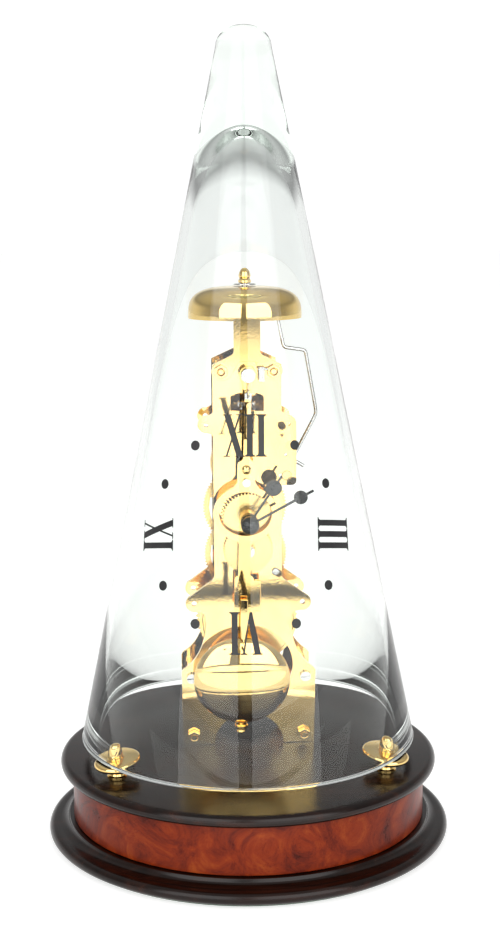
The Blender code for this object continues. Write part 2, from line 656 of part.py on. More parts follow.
def make_barrel():
    at = (0, 0, BARREL_Z)
    drum_r = 22.3
    bore = [circle((0, 0), 2.6, 12)]
    outline = gear_outline(GREAT_TEETH, GREAT_MODULE, 90 + 180 / GREAT_TEETH)
    barrel = prism("barrel", outline, 3.5, 5.0, "brass", bore, at=at)
    front = -8.9
    wall = [(drum_r, front), (drum_r, 4.2), (drum_r - 1.2, 4.2), (drum_r - 1.2, front)]
    join(barrel, turned("barrel_wall", wall, "Y", 28, at=at))
    lid_r = drum_r - 1.5
    lid = [(2.6, front), (lid_r, front), (lid_r, front + 1.1), (2.6, front + 1.1)]
    turned("barrel_cover", lid, "Y", 28, "brass", at=at)
    make_mainspring(at)

    staff = [(0, FRONT_Y + 0.2), (PIVOT_R, FRONT_Y + 0.2), (PIVOT_R, PLATE_IN + 0.4), (2.3, PLATE_IN + 0.4)]
    staff += [(2.3, -7.4), (4.0, -7.4), (4.0, 3.1), (2.3, 3.1)]
    staff += [(2.3, 17.1), (2.05, 17.1), (2.05, 22.4), (0, 22.4)]
    winding = turned("winding_arbor", staff, "Y", 12, "steel", at=at)
    join(winding, box("winding_square", (-1.4, 21.8, -1.4), (1.4, 29.0, 1.4), at=at))

    teeth = 20
    pitch = 360 / teeth
    ratchet = []
    for i in range(teeth):
        ratchet.append(polar(6.7, (i + 0.1) * pitch))
        ratchet.append(polar(8.0, (i + 0.95) * pitch))
    prism("ratchet_wheel", ratchet, BACK_Y + GAP, BACK_Y + 1.8, "steel", [circle((0, 0), 2.35, 12)], at=at)
    make_click()


def make_mainspring(at):
    """The mainspring as a flat spiral, run down most of the way, inside the barrel."""
    turns, steps, inner, outer, thick = 3, 12, 5.2, 19.6, 0.8
    spine = []
    for i in range(turns * steps + 1):
        share = i / (turns * steps)
        spine.append((inner + (outer - inner) * share, 2 * pi * turns * share))
    ahead = [(r * cos(a), r * sin(a)) for r, a in spine]
    back = [((r + thick) * cos(a), (r + thick) * sin(a)) for r, a in spine]
    count = len(ahead)
    points = []
    for y in (-7.3, 2.9):
        points += [(x, y, z) for x, z in ahead] + [(x, y, z) for x, z in back]
    faces = []
    for i in range(count - 1):
        a, b, c, d = i, i + 1, i + count + 1, i + count
        faces.append((a, b, c, d))
        faces.append(tuple(k + 2 * count for k in (d, c, b, a)))
        faces.append((a, a + 2 * count, b + 2 * count, b))
        faces.append((d, c, c + 2 * count, d + 2 * count))
    for i in (0, count - 1):
        faces.append((i, i + count, i + 3 * count, i + 2 * count))
    mesh_object("mainspring", points, faces, "steel", at)


def make_click():
    """The click on the back plate, its screw and its spring."""
    px, pz = CLICK_PIVOT
    toward = atan2(BARREL_Z - pz, -px)
    reach = hypot(px, pz - BARREL_Z) - 8.35
    side = toward + pi / 2
    tip = (px + reach * cos(toward), pz + reach * sin(toward))
    edge = [(px + 2.6 * cos(toward + s), pz + 2.6 * sin(toward + s)) for s in (1.1, 2.0, 2.8, 3.5, 4.3, 5.2)]
    nose = [(tip[0] + 0.7 * cos(side + pi), tip[1] + 0.7 * sin(side + pi)), tip]
    y0, y1 = BACK_Y + GAP, BACK_Y + 1.8
    prism("click", edge + nose, y0, y1, "steel", [circle(CLICK_PIVOT, 1.5, 10)])
    profile = [(0, BACK_IN + 0.4), (1.0, BACK_IN + 0.4), (1.0, y1 + GAP)]
    profile += [(2.2, y1 + GAP), (2.2, y1 + 1.6), (0, y1 + 1.6)]
    screw = turned("click_screw", profile, "Y", 14, "steel", at=(px, 0, pz))
    cut(screw, box("click_screw_slot", (-3, y1 + 1.0, -0.3), (3, y1 + 3, 0.3), at=(px, 0, pz)))


# ---------------------------------------------------------------- motion work and hands

def make_motion_work():
    at = (0, 0, CENTRE_Z)
    bore = [circle((0, 0), 1.3, 12)]
    leaves = gear_outline(CANNON_TEETH, CANNON_MODULE, -90)
    cannon = prism("cannon_pinion", leaves, -15.4, FRONT_Y - 0.5, "brass", bore, at=at)
    pipe = [(1.3, -31.5), (1.75, -31.5), (1.75, -14.6), (1.3, -14.6)]
    join(cannon, turned("cannon_pipe", pipe, "Y", 12, at=at))

    hour_bore = [circle((0, 0), 2.05, 12)]
    outline = gear_outline(HOUR_TEETH, HOUR_MODULE, -90)
    hour = prism("hour_wheel", outline, -17.4, -16.2, "brass", hour_bore, at=at)
    sleeve = [(2.05, -27.2), (3.0, -27.2), (3.0, -21.5), (3.7, -21.5), (3.7, -17.0), (2.05, -17.0)]
    join(hour, turned("hour_pipe", sleeve, "Y", 16, at=at))

    at = (0, 0, MINUTE_Z)
    stud_bore = [circle((0, 0), 1.5, 12)]
    outline = gear_outline(MINUTE_TEETH, CANNON_MODULE, 90 + 180 / MINUTE_TEETH)
    minute = prism("minute_wheel", outline, -15.2, -14.0, "brass", stud_bore, at=at)
    leaves = gear_outline(MINUTE_LEAVES, HOUR_MODULE, 90 + 180 / MINUTE_LEAVES)
    join(minute, prism("minute_pinion", leaves, -17.8, -14.6, holes=stud_bore, at=at))
    make_screw("minute_wheel_stud", (0, MINUTE_Z), -18.1, 2.6, 1.4, 1.2, PLATE_IN - 0.2, turn=38)


def hand_outline(collet, bar, disc_r, disc_at, tip_at):
    """A straight hand with a disc on it, pointing up from its collet."""
    low = degrees(asin(bar / collet))
    disc = degrees(asin(bar / disc_r))
    right = arc((0, disc_at), disc_r, -90 + disc, 90 - disc, 13)
    outline = arc((0, 0), collet, 90 + low, 450 - low, 19) + right
    outline += [(bar, tip_at), (-bar, tip_at)] + mirrored(right)[::-1]
    return outline


def make_hands():
    at = (0, 0, CENTRE_Z)
    for name, shape, y0, bore, angle in (
        ("hour_hand", (4.0, 0.5, 3.6, 19.0, 25.5), -27.2, 3.3, HOUR_HAND_ANGLE),
        ("minute_hand", (3.6, 0.5, 3.0, 25.1, 31.4), -30.9, 2.05, MINUTE_HAND_ANGLE),
    ):
        hand = prism(name, hand_outline(*shape), y0, y0 + 0.9, "blacked", [circle((0, 0), bore, 12)], at=at)
        hand.rotation_euler.y = radians(angle)
    dome = [(0, -33.8), (1.3, -33.8), (1.3, -31.8), (4.0, -31.8), (3.95, -32.4)]
    dome += [(3.4, -33.5), (2.2, -34.4), (0, -34.9)]
    turned("hand_boss", dome, "Y", 20, "blacked", at=at)


# ---------------------------------------------------------------- pendulum and escapement

def make_suspension():
    front = FRONT_Y - 6.6
    boss = arc((0, 217.2), 3.9, -50, 230, 13) + [(-1.7, 210.3), (1.7, 210.3)]
    cock = prism("suspension_cock", boss, front, BRACKET_BACK, "brass", [circle((0, 217.2), 1.5, 10)])
    cut(cock, box("suspension_slit", (-0.45, front - 1, 209), (0.45, -16.0, 214.7)))
    make_screw("suspension_screw", (0, 217.2), front - GAP, 3.1, 2.1, 1.2, PLATE_IN - 0.2, turn=88)
    bar = box("suspension_lock", (4.9, -18.0, 213.9), (7.5, -16.6, 220.6), "steel")
    pin = rod("suspension_lock_pin", 0.55, 4.4, 9.0, "X", 10, at=(0, -17.3, 219.6))
    join(bar, pin)


def make_pendulum():
    """Everything here hangs from one empty on the suspension's bending axis; Z is below that axis."""
    pivot = empty("pendulum_pivot", (0, 0, SWING_Z), SWING_NOW)
    drop = lambda z: z - SWING_Z
    y0, y1 = ROD_Y - ROD_T / 2, ROD_Y + ROD_T / 2

    box("suspension_spring", (-0.1, -22.8, drop(207.5)), (0.1, -16.4, drop(213.6)), "steel", parent=pivot)

    ring = (0, drop(RING_Z))
    right = [(ROD_HALF, drop(207.0)), (ROD_HALF, drop(180.6)), (3.2, drop(179.0)), (4.0, drop(177.6))]
    right += [(4.0, drop(169.0))] + arc(ring, RING_OUT, 68, -76, 19)
    right += [(2.7, drop(141.6)), (2.7, drop(127.2)), (4.3, drop(125.0)), (4.3, drop(110.2))]
    outline = right + mirrored(right)[::-1]
    strip = prism("pendulum_rod", outline, y0, y1, "brass", [circle(ring, RING_IN, 28)], parent=pivot)
    head = box("rod_head", (-1.5, y0 - 0.8, drop(205.6)), (1.5, y1 + 1.0, drop(209.8)), parent=pivot)
    shank = rod("rod_shank", 1.25, drop(51.4), drop(113.0), "Z", 10, at=(0, ROD_Y, 0), parent=pivot)
    join(strip, head, shank)
    cut(strip, box("rod_slit", (-0.42, y0 - 2, drop(207.2)), (0.42, y1 + 2, drop(211)), parent=pivot))

    clamp_low, clamp_high = (-3.6, y1 + GAP, drop(110.3)), (7.6, y1 + 2.9, drop(124.6))
    clamp = box("pendulum_clamp", clamp_low, clamp_high, "brass", parent=pivot)
    groove = rod("clamp_groove", 1.6, drop(105), drop(114), "Z", 10, at=(0, ROD_Y, 0), parent=pivot)
    cut(clamp, groove)

    needle = [(-1.6, drop(117.0)), (-1.6, drop(105.0)), (0, drop(96.2))]
    needle += [(1.6, drop(105.0)), (1.6, drop(117.0))]
    pointer = prism("pendulum_pointer", needle, y0 - 4.0, y0 - 3.0, "brass", parent=pivot)
    join(pointer, rod("pointer_boss", 1.2, y0 - 3.3, y0 - GAP, "Y", 10, at=(0, 0, drop(114.6)), parent=pivot))

    make_screw("pendulum_screw", (0, drop(169.6)), y0 - GAP, 1.8, 1.2, 0.9, y0 - 0.2, turn=80, parent=pivot)
    stud = [(0, y0 + 0.4), (2.1, y0 + 0.4), (2.1, y0 - 0.3), (0.8, y0 - 1.6), (0, y0 - 1.6)]
    join(strip, turned("rod_stud", stud, "Y", 14, at=(0, 0, drop(175.4)), parent=pivot))

    lens = [(BOB_R * sin(radians(a)), -BOB_HALF * cos(radians(a)) ** 1.15) for a in range(0, 90, 15)]
    profile = lens + [(BOB_R, 0)] + [(r, -y) for r, y in lens[::-1]]
    bob = turned("pendulum_bob", profile, "Y", 28, "brass", at=(0, ROD_Y, drop(BOB_Z)), parent=pivot)
    cut(bob, rod("bob_bore", 1.6, -BOB_R - 3, BOB_R + 3, "Z", 12, at=(0, ROD_Y, drop(BOB_Z)), parent=pivot))

    top = drop(BOB_Z - BOB_R - 0.5)
    nut = [(0, top), (2.4, top), (3.1, top - 0.7), (3.1, top - 1.9), (2.5, top - 2.5), (1.7, top - 2.9)]
    nut += [(1.9, top - 3.9), (1.3, top - 4.9), (0, top - 5.1)]
    rating = turned("rating_nut", nut, count=18, finish="brass", at=(0, ROD_Y, 0), parent=pivot)
    cut(rating, rod("rating_bore", 1.6, drop(49.9), top + 1, "Z", 10, at=(0, ROD_Y, 0), parent=pivot))


def make_pallets():
    """The anchor and the crutch turn together on an axis in line with the suspension's."""
    pivot = empty("pallet_pivot", (0, 0, SWING_Z), SWING_NOW)
    drop = lambda z: z - SWING_Z
    crutch_y = PLATE_IN + 0.9
    staff = arbor("pallet_arbor", 1.0, PLATE_IN + 0.4, BACK_IN - 0.4, (0, 0, 0), "steel")
    staff.parent = pivot
    arm = box("crutch_arm", (-0.9, crutch_y, drop(CRUTCH_Z)), (0.9, crutch_y + 1.2, 0.4), parent=pivot)
    bar_low = (-CRUTCH_X - 0.9, crutch_y, drop(CRUTCH_Z - 0.9))
    bar = box("crutch_bar", bar_low, (CRUTCH_X + 0.9, crutch_y + 1.2, drop(CRUTCH_Z + 0.9)), parent=pivot)
    join(staff, arm, bar)
    for side in (-1, 1):
        spot = (side * CRUTCH_X, 0, drop(CRUTCH_Z))
        pin = rod("crutch_pin" + str(side), 0.5, ROD_Y - 2.4, crutch_y + 0.6, "Y", 8, at=spot, parent=pivot)
        join(staff, pin)
    outer = arc((0, drop(202.6)), (12.2, 13.4), -12, 192, 15)
    inner = arc((0, drop(202.6)), (10.0, 7.2), 192, -12, 13)
    prism("anchor", outer + inner, *ANCHOR_Y, "steel", [circle((0, 0), 1.3, 10)], parent=pivot)


def main():
    clear_scene()
    make_base()
    make_glass()
    make_plates()
    make_frame_fasteners()
    make_bell()
    make_hammer()
    make_train()
    make_barrel()
    make_motion_work()
    make_hands()
    make_suspension()
    make_pendulum()
    make_pallets()


main()
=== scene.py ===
"""Looks of the skeleton clock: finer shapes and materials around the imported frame, in metres."""

import json
from math import asin, atan, atan2, cos, degrees, hypot, pi, radians, sin

import bmesh
import bpy
from mathutils import Matrix, Vector
from mathutils.geometry import delaunay_2d_cdt


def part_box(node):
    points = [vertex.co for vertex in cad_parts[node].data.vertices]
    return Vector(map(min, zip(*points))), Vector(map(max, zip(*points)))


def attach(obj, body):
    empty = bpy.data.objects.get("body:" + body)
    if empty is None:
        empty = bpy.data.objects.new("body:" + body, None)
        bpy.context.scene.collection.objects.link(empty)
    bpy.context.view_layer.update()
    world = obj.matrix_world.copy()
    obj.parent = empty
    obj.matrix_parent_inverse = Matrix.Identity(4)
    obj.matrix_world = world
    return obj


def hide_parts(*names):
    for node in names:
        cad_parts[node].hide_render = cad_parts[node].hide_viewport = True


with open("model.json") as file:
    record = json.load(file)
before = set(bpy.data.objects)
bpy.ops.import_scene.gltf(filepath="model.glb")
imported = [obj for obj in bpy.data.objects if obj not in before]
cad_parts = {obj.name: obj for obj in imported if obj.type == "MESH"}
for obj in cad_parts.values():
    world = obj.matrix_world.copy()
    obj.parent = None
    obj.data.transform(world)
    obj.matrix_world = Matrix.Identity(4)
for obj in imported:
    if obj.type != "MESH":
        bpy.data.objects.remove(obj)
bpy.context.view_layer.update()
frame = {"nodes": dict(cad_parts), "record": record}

MM = 0.001
GAP = 0.3  # clearance between touching pieces, in millimetres like every length below

CAMERA_AZIMUTH = 3.02
CAMERA_PITCH = 9.81
CAMERA_ROLL = -0.38
CAMERA_DISTANCE = 710.0
CAMERA_HEIGHT = 292.2
CAMERA_LENS = 112.87
CAMERA_SHIFT = 0.0077

FOOT_R = 90.2
DRUM_R = 82.5
DRUM_LOW = 10.3
DECK_R = 88.0
DECK_LOW = 33.2
DECK_Z = 38.8
RIM_Z = 46.0
RIM_R = 77.9
CONE_SLOPE = 0.2085
WALL = 3.8
TIP_Z = 362.2
TIP_TOP = 369.6
DOME_Z = 286.0
CAVITY_TOP = 325.0

FRONT_Y = -12.8
PLATE_T = 2.5
BACK_Y = 20.0
PLATE_IN = FRONT_Y + PLATE_T
BACK_IN = BACK_Y - PLATE_T
SIDE_X = 15.3
UPPER_LUG = (18.2, 194.5)
LOWER_LUG = (24.7, 112.1)
LUG_R = 3.85
TOP_PILLAR = (11.6, 218.4)
MID_PILLAR = (26.3, 75.2)
FOOT_PILLAR = (26.1, 44.3)
PLATE_TOP = 226.0
PLATE_SHOULDER = 221.3
PLATE_LOW = DECK_Z + GAP
FOOT_ARCH_R = 16.4
OPENING_Z = 81.1
OPENING_R = 20.4
BACK_OPENING_R = 18.6
CENTRE_Z = 152.0
SECOND_Z = CENTRE_Z - 21.6
THIRD_Z = CENTRE_Z + 21.56
ESCAPE_Z = CENTRE_Z + 39.24
BARREL_Z = SECOND_Z - 27.3
MINUTE_WHEEL_Z = CENTRE_Z - 14.7
COCK_Z = 217.2
PIVOT_HOLE_R = 0.8
SCREW_HOLE_R = 1.5
BOLT_HOLE_R = 1.7
SLOT_HALF = 0.34

SWING_Z = 213.0
SWING_NOW = 1.5
ROD_Y = -22.0
ROD_FRONT = ROD_Y - 0.6
ROD_BACK = ROD_Y + 0.6
RING_Z = 155.3
ROD_SCREW_Z = 169.6
CLAMP_LOW = 110.3
BOB_Z = 76.4
BOB_R = 22.0
BOB_HALF = 6.5

BRACKET_FRONT = -14.3
BRACKET_BACK = -13.1
TONGUE_LOW = 247.9
BELL_Y = 2.0
BELL_RIM_Z = 241.3
BELL_R = 25.9
BELL_TOP = 255.5
BELL_WALL = 1.4
BELL_BORE_R = 1.75
HAMMER_PIVOT = (17.2, 180.5)
HAMMER_Y = 5.0

DIAL_TURN = -3.6
DIAL_Z = 153.2
DOT_R = 2.15
DOT_RADIUS = 44.2
FIGURE_RADIUS = 42.2
FIGURE_HEIGHT = 18.2


# ---------------------------------------------------------------- mesh helpers

def build(name, points, faces, finish, body, slot, at=(0, 0, 0), tilt=0.0, stands_for=(), sharp=34):
    """A piece from millimetre points: shaded, given its material and hung on its body."""
    mesh = bpy.data.meshes.new(name)
    mesh.from_pydata([tuple(MM * c for c in p) for p in points], [], faces)
    shaped = bmesh.new()
    shaped.from_mesh(mesh)
    bmesh.ops.recalc_face_normals(shaped, faces=shaped.faces)
    shaped.to_mesh(mesh)
    shaped.free()
    mesh.shade_smooth()
    mesh.set_sharp_from_angle(angle=radians(sharp))
    mesh.materials.append(finish)
    piece = bpy.data.objects.new(name, mesh)
    bpy.context.scene.collection.objects.link(piece)
    piece.location = [MM * c for c in at]
    piece.rotation_euler.y = radians(tilt)
    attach(piece, body)
    if stands_for:
        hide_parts(*stands_for)
    return piece


def bevelled(piece, width, segments=2, angle=40):
    bevel = piece.modifiers.new("edge", "BEVEL")
    bevel.width = width * MM
    bevel.segments = segments
    bevel.limit_method = "ANGLE"
    bevel.angle_limit = radians(angle)
    bevel.harden_normals = True
    return piece


def arc(centre, radius, start, end, count):
    rx, rz = radius if isinstance(radius, tuple) else (radius, radius)
    angles = [radians(start + (end - start) * i / (count - 1)) for i in range(count)]
    return [(centre[0] + rx * cos(a), centre[1] + rz * sin(a)) for a in angles]


def circle(centre, radius, count=40):
    return arc(centre, radius, 0, 360 * (count - 1) / count, count)


def bend(start, control, end, count=20):
    steps = [i / (count - 1) for i in range(count)]
    return [
        tuple((1 - t) ** 2 * a + 2 * t * (1 - t) * b + t * t * c for a, b, c in zip(start, control, end))
        for t in steps
    ]


def cubic(start, first, second, end, count):
    curve = []
    for i in range(count):
        t = i / (count - 1)
        shares = ((1 - t) ** 3, 3 * t * (1 - t) ** 2, 3 * t * t * (1 - t), t ** 3)
        corners = (start, first, second, end)
        curve.append(tuple(sum(s * p[k] for s, p in zip(shares, corners)) for k in (0, 1)))
    return curve


def mirrored(points):
    return [(-x, z) for x, z in points]


def inside(point, loop):
    """Whether a ray from the point crosses the loop an odd number of times."""
    x, z = point
    odd = False
    for (ax, az), (bx, bz) in zip(loop, loop[1:] + loop[:1]):
        if (az > z) != (bz > z) and x < ax + (z - az) * (bx - ax) / (bz - az):
            odd = not odd
    return odd


def filled(loops):
    """The points of the loops and the triangles between the first loop and the holes in it."""
    flat = []
    edges = []
    for loop in loops:
        start, size = len(flat), len(loop)
        flat += [Vector(point) for point in loop]
        edges += [(start + i, start + (i + 1) % size) for i in range(size)]
    points, _, faces, sources, _, _ = delaunay_2d_cdt(flat, edges, [], 2, 1e-5)
    if len(points) != len(flat):
        raise ValueError("an outline crosses itself or repeats a point")
    caps = [tuple(sources[i][0] for i in face) for face in faces]
    kept = []
    for cap in caps:
        centre = [sum(flat[i][k] for i in cap) / len(cap) for k in (0, 1)]
        if sum(inside(centre, loop) for loop in loops) == 1:
            kept.append(cap)
    return [tuple(point) for point in flat], kept


def prism_mesh(outline, y0, y1, holes=()):
    loops = [list(outline)] + [list(hole) for hole in holes]
    flat, caps = filled(loops)
    count = len(flat)
    faces = [tuple(face) for face in caps] + [tuple(i + count for i in reversed(face)) for face in caps]
    start = 0
    for loop in loops:
        size = len(loop)
        for i in range(size):
            a, b = start + i, start + (i + 1) % size
            faces.append((a, b, b + count, a + count))
        start += size
    return [(x, y0, z) for x, z in flat] + [(x, y1, z) for x, z in flat], faces


def prism(name, outline, y0, y1, finish, body, slot, holes=(), **rest):
    points, faces = prism_mesh(outline, y0, y1, holes)
    return build(name, points, faces, finish, body, slot, **rest)


def turned(name, profile, finish, body, slot, axis="Z", count=96, phase=0.0, **rest):
    points = []
    rings = []
    for radius, height in profile:
        if radius == 0:
            rings.append([len(points)])
            points.append((0.0, 0.0, height))
            continue
        rings.append(list(range(len(points), len(points) + count)))
        for i in range(count):
            angle = 2 * pi * i / count + phase
            points.append((radius * cos(angle), radius * sin(angle), height))
    faces = []
    closed = profile[0][0] > 0 and profile[-1][0] > 0
    pairs = list(zip(rings, rings[1:])) + ([(rings[-1], rings[0])] if closed else [])
    for low, high in pairs:
        for i in range(count):
            j = (i + 1) % count
            if len(low) == 1:
                faces.append((low[0], high[i], high[j]))
            elif len(high) == 1:
                faces.append((low[i], low[j], high[0]))
            else:
                faces.append((low[i], low[j], high[j], high[i]))
    if axis == "Y":
        points = [(x, z, y) for x, y, z in points]
    elif axis == "X":
        points = [(z, x, y) for x, y, z in points]
    return build(name, points, faces, finish, body, slot, **rest)


def wire(name, path, radius, y, finish, body, slot, corner=1.6, sides=20, **rest):
    """A round wire in the XZ plane whose corners are bent round."""
    spine = [Vector((path[0][0], 0, path[0][1]))]
    for before, here, after in zip(path, path[1:], path[2:]):
        a, b, c = (Vector((p[0], 0, p[1])) for p in (before, here, after))
        first = b + (a - b).normalized() * min(corner, (a - b).length * 0.45)
        last = b + (c - b).normalized() * min(corner, (c - b).length * 0.45)
        spine += [first * (1 - t) ** 2 + b * 2 * t * (1 - t) + last * t * t for t in (0, 0.25, 0.5, 0.75, 1)]
    spine.append(Vector((path[-1][0], 0, path[-1][1])))
    side = Vector((0, 1, 0))
    points = []
    for i, here in enumerate(spine):
        along = (spine[min(i + 1, len(spine) - 1)] - spine[max(i - 1, 0)]).normalized()
        across = side.cross(along)
        for k in range(sides):
            angle = 2 * pi * k / sides
            points.append(tuple(here + radius * (cos(angle) * across + sin(angle) * side)))
    faces = [tuple(reversed(range(sides)))]
    for i in range(len(spine) - 1):
        for k in range(sides):
            j = (k + 1) % sides
            a, b = i * sides, (i + 1) * sides
            faces.append((a + k, a + j, b + j, b + k))
    last = (len(spine) - 1) * sides
    faces.append(tuple(range(last, last + sides)))
    return build(name, points, faces, finish, body, slot, at=(0, y, 0), **rest)


# ---------------------------------------------------------------- materials

def new_material(name):
    made = bpy.data.materials.new(name)
    made.use_nodes = True
    return made, made.node_tree.nodes, made.node_tree.links, made.node_tree.nodes["Principled BSDF"]


def coordinates(nodes, links, scale=(1, 1, 1)):
    place = nodes.new("ShaderNodeTexCoord")
    mapping = nodes.new("ShaderNodeMapping")
    mapping.inputs["Scale"].default_value = scale
    links.new(place.outputs["Object"], mapping.inputs["Vector"])
    return mapping.outputs["Vector"]


def noise(nodes, links, vector, scale, detail=3.0, roughness=0.5, distortion=0.0):
    node = nodes.new("ShaderNodeTexNoise")
    node.inputs["Scale"].default_value = scale
    node.inputs["Detail"].default_value = detail
    node.inputs["Roughness"].default_value = roughness
    node.inputs["Distortion"].default_value = distortion
    links.new(vector, node.inputs["Vector"])
    return node


def ramp(nodes, links, source, stops):
    node = nodes.new("ShaderNodeValToRGB")
    node.color_ramp.elements[0].position = stops[0][0]
    node.color_ramp.elements[0].color = (*stops[0][1], 1)
    node.color_ramp.elements[1].position = stops[-1][0]
    node.color_ramp.elements[1].color = (*stops[-1][1], 1)
    for position, colour in stops[1:-1]:
        node.color_ramp.elements.new(position).color = (*colour, 1)
    links.new(source, node.inputs["Fac"])
    return node.outputs["Color"]


def spread(nodes, links, source, low, high):
    node = nodes.new("ShaderNodeMapRange")
    node.inputs["To Min"].default_value = low
    node.inputs["To Max"].default_value = high
    links.new(source, node.inputs["Value"])
    return node.outputs["Result"]


def bump(nodes, links, shader, source, strength, distance, normal="Normal"):
    node = nodes.new("ShaderNodeBump")
    node.inputs["Strength"].default_value = strength
    node.inputs["Distance"].default_value = distance
    links.new(source, node.inputs["Height"])
    links.new(node.outputs["Normal"], shader.inputs[normal])
    return node


def metal(name, light, dark, rough, grain=(1, 1, 1), grain_scale=900.0, grain_strength=0.04):
    """Metal with slow colour variation, faint wiping marks and a fine grain."""
    made, nodes, links, shader = new_material(name)
    shader.inputs["Metallic"].default_value = 1.0
    slow = noise(nodes, links, coordinates(nodes, links), 38.0, 4.0, 0.55, 0.4)
    colour = ramp(nodes, links, slow.outputs["Fac"], [(0.3, dark), (0.62, light)])
    links.new(colour, shader.inputs["Base Color"])
    fine = noise(nodes, links, coordinates(nodes, links, grain), grain_scale, 3.0, 0.6)
    wiped = noise(nodes, links, coordinates(nodes, links, (1, 1, 0.3)), 160.0, 5.0, 0.62, 1.2)
    mixed = nodes.new("ShaderNodeMath")
    mixed.operation = "MULTIPLY"
    links.new(wiped.outputs["Fac"], mixed.inputs[0])
    links.new(slow.outputs["Fac"], mixed.inputs[1])
    links.new(spread(nodes, links, mixed.outputs["Value"], rough[0], rough[1]), shader.inputs["Roughness"])
    bump(nodes, links, shader, fine.outputs["Fac"], grain_strength, 0.0002)
    return made


def make_glass_material():
    """Clear glass with a green body colour. Light for shadows goes straight through it."""
    made, nodes, links, shader = new_material("clear_glass_look")
    shader.inputs["Base Color"].default_value = (0.985, 1.0, 0.992, 1)
    shader.inputs["Transmission Weight"].default_value = 1.0
    shader.inputs["Roughness"].default_value = 0.0
    shader.inputs["IOR"].default_value = 1.47
    shader.inputs["Specular Tint"].default_value = (0.55, 0.56, 0.56, 1)
    waves = noise(nodes, links, coordinates(nodes, links, (1, 1, 0.25)), 22.0, 1.0)
    bump(nodes, links, shader, waves.outputs["Fac"], 0.05, 0.001)
    path = nodes.new("ShaderNodeLightPath")
    clear = nodes.new("ShaderNodeBsdfTransparent")
    clear.inputs["Color"].default_value = (0.95, 0.975, 0.96, 1)
    mix = nodes.new("ShaderNodeMixShader")
    links.new(path.outputs["Is Shadow Ray"], mix.inputs["Fac"])
    links.new(shader.outputs["BSDF"], mix.inputs[1])
    links.new(clear.outputs["BSDF"], mix.inputs[2])
    out = nodes["Material Output"]
    links.new(mix.outputs["Shader"], out.inputs["Surface"])
    tint = nodes.new("ShaderNodeVolumeAbsorption")
    tint.inputs["Color"].default_value = (0.5, 0.9, 0.6, 1)
    tint.inputs["Density"].default_value = 4.0
    links.new(tint.outputs["Volume"], out.inputs["Volume"])
    return made


def make_burl():
    """French-polished burl: swirling red-brown figure with clusters of dark eyes."""
    made, nodes, links, shader = new_material("burl_veneer_look")
    vector = coordinates(nodes, links)
    swirl = noise(nodes, links, vector, 48.0, 8.0, 0.72, 1.6)
    push = nodes.new("ShaderNodeMixRGB")
    push.blend_type = "LINEAR_LIGHT"
    push.inputs["Fac"].default_value = 0.035
    links.new(vector, push.inputs["Color1"])
    links.new(swirl.outputs["Color"], push.inputs["Color2"])
    eyes = nodes.new("ShaderNodeTexVoronoi")
    eyes.inputs["Scale"].default_value = 240.0
    eyes.inputs["Randomness"].default_value = 1.0
    links.new(push.outputs["Color"], eyes.inputs["Vector"])
    figure = ramp(
        nodes, links, swirl.outputs["Fac"],
        [(0.30, (0.030, 0.003, 0.001)), (0.42, (0.10, 0.009, 0.0015)), (0.54, (0.17, 0.018, 0.002)),
         (0.72, (0.26, 0.046, 0.006))],
    )
    spots = ramp(nodes, links, eyes.outputs["Distance"], [(0.05, (0.10, 0.05, 0.04)), (0.34, (1, 1, 1))])
    clusters = noise(nodes, links, vector, 24.0, 3.0)
    where = ramp(nodes, links, clusters.outputs["Fac"], [(0.42, (0, 0, 0)), (0.6, (1, 1, 1))])
    dark = nodes.new("ShaderNodeMixRGB")
    dark.blend_type = "MULTIPLY"
    links.new(where, dark.inputs["Fac"])
    links.new(figure, dark.inputs["Color1"])
    links.new(spots, dark.inputs["Color2"])
    links.new(dark.outputs["Color"], shader.inputs["Base Color"])
    links.new(spread(nodes, links, swirl.outputs["Fac"], 0.2, 0.4), shader.inputs["Roughness"])
    shader.inputs["Coat Weight"].default_value = 0.08
    shader.inputs["Coat Roughness"].default_value = 0.1
    shader.inputs["Specular IOR Level"].default_value = 0.1
    bump(nodes, links, shader, eyes.outputs["Distance"], 0.06, 0.0004)
    return made


def make_dark_wood():
    made, nodes, links, shader = new_material("dark_mahogany_look")
    grain = noise(nodes, links, coordinates(nodes, links, (0.25, 3.0, 3.0)), 60.0, 6.0, 0.6, 0.8)
    colour = ramp(
        nodes, links, grain.outputs["Fac"],
        [(0.3, (0.002, 0.0008, 0.0004)), (0.55, (0.009, 0.0028, 0.0014)), (0.75, (0.026, 0.007, 0.003))],
    )
    links.new(colour, shader.inputs["Base Color"])
    links.new(spread(nodes, links, grain.outputs["Fac"], 0.20, 0.25), shader.inputs["Roughness"])
    shader.inputs["Specular IOR Level"].default_value = 0.28
    bump(nodes, links, shader, grain.outputs["Fac"], 0.001, 0.0001)
    return made


def make_baize():
    made, nodes, links, shader = new_material("baize_look")
    fibre = noise(nodes, links, coordinates(nodes, links), 900.0, 6.0, 0.75)
    colour = ramp(
        nodes, links, fibre.outputs["Fac"],
        [(0.3, (0.006, 0.03, 0.012)), (0.7, (0.03, 0.12, 0.045))],
    )
    links.new(colour, shader.inputs["Base Color"])
    shader.inputs["Roughness"].default_value = 0.95
    shader.inputs["Sheen Weight"].default_value = 0.3
    bump(nodes, links, shader, fibre.outputs["Fac"], 0.6, 0.0004)
    return made


def make_black(name, rough, level):
    made, nodes, links, shader = new_material(name)
    mottle = noise(nodes, links, coordinates(nodes, links), 300.0, 4.0, 0.6)
    colour = ramp(
        nodes, links, mottle.outputs["Fac"],
        [(0.35, (0.006, 0.006, 0.007)), (0.7, (level, level, level))],
    )
    links.new(colour, shader.inputs["Base Color"])
    links.new(spread(nodes, links, mottle.outputs["Fac"], rough[0], rough[1]), shader.inputs["Roughness"])
    bump(nodes, links, shader, mottle.outputs["Fac"], 0.03, 0.0002)
    return made


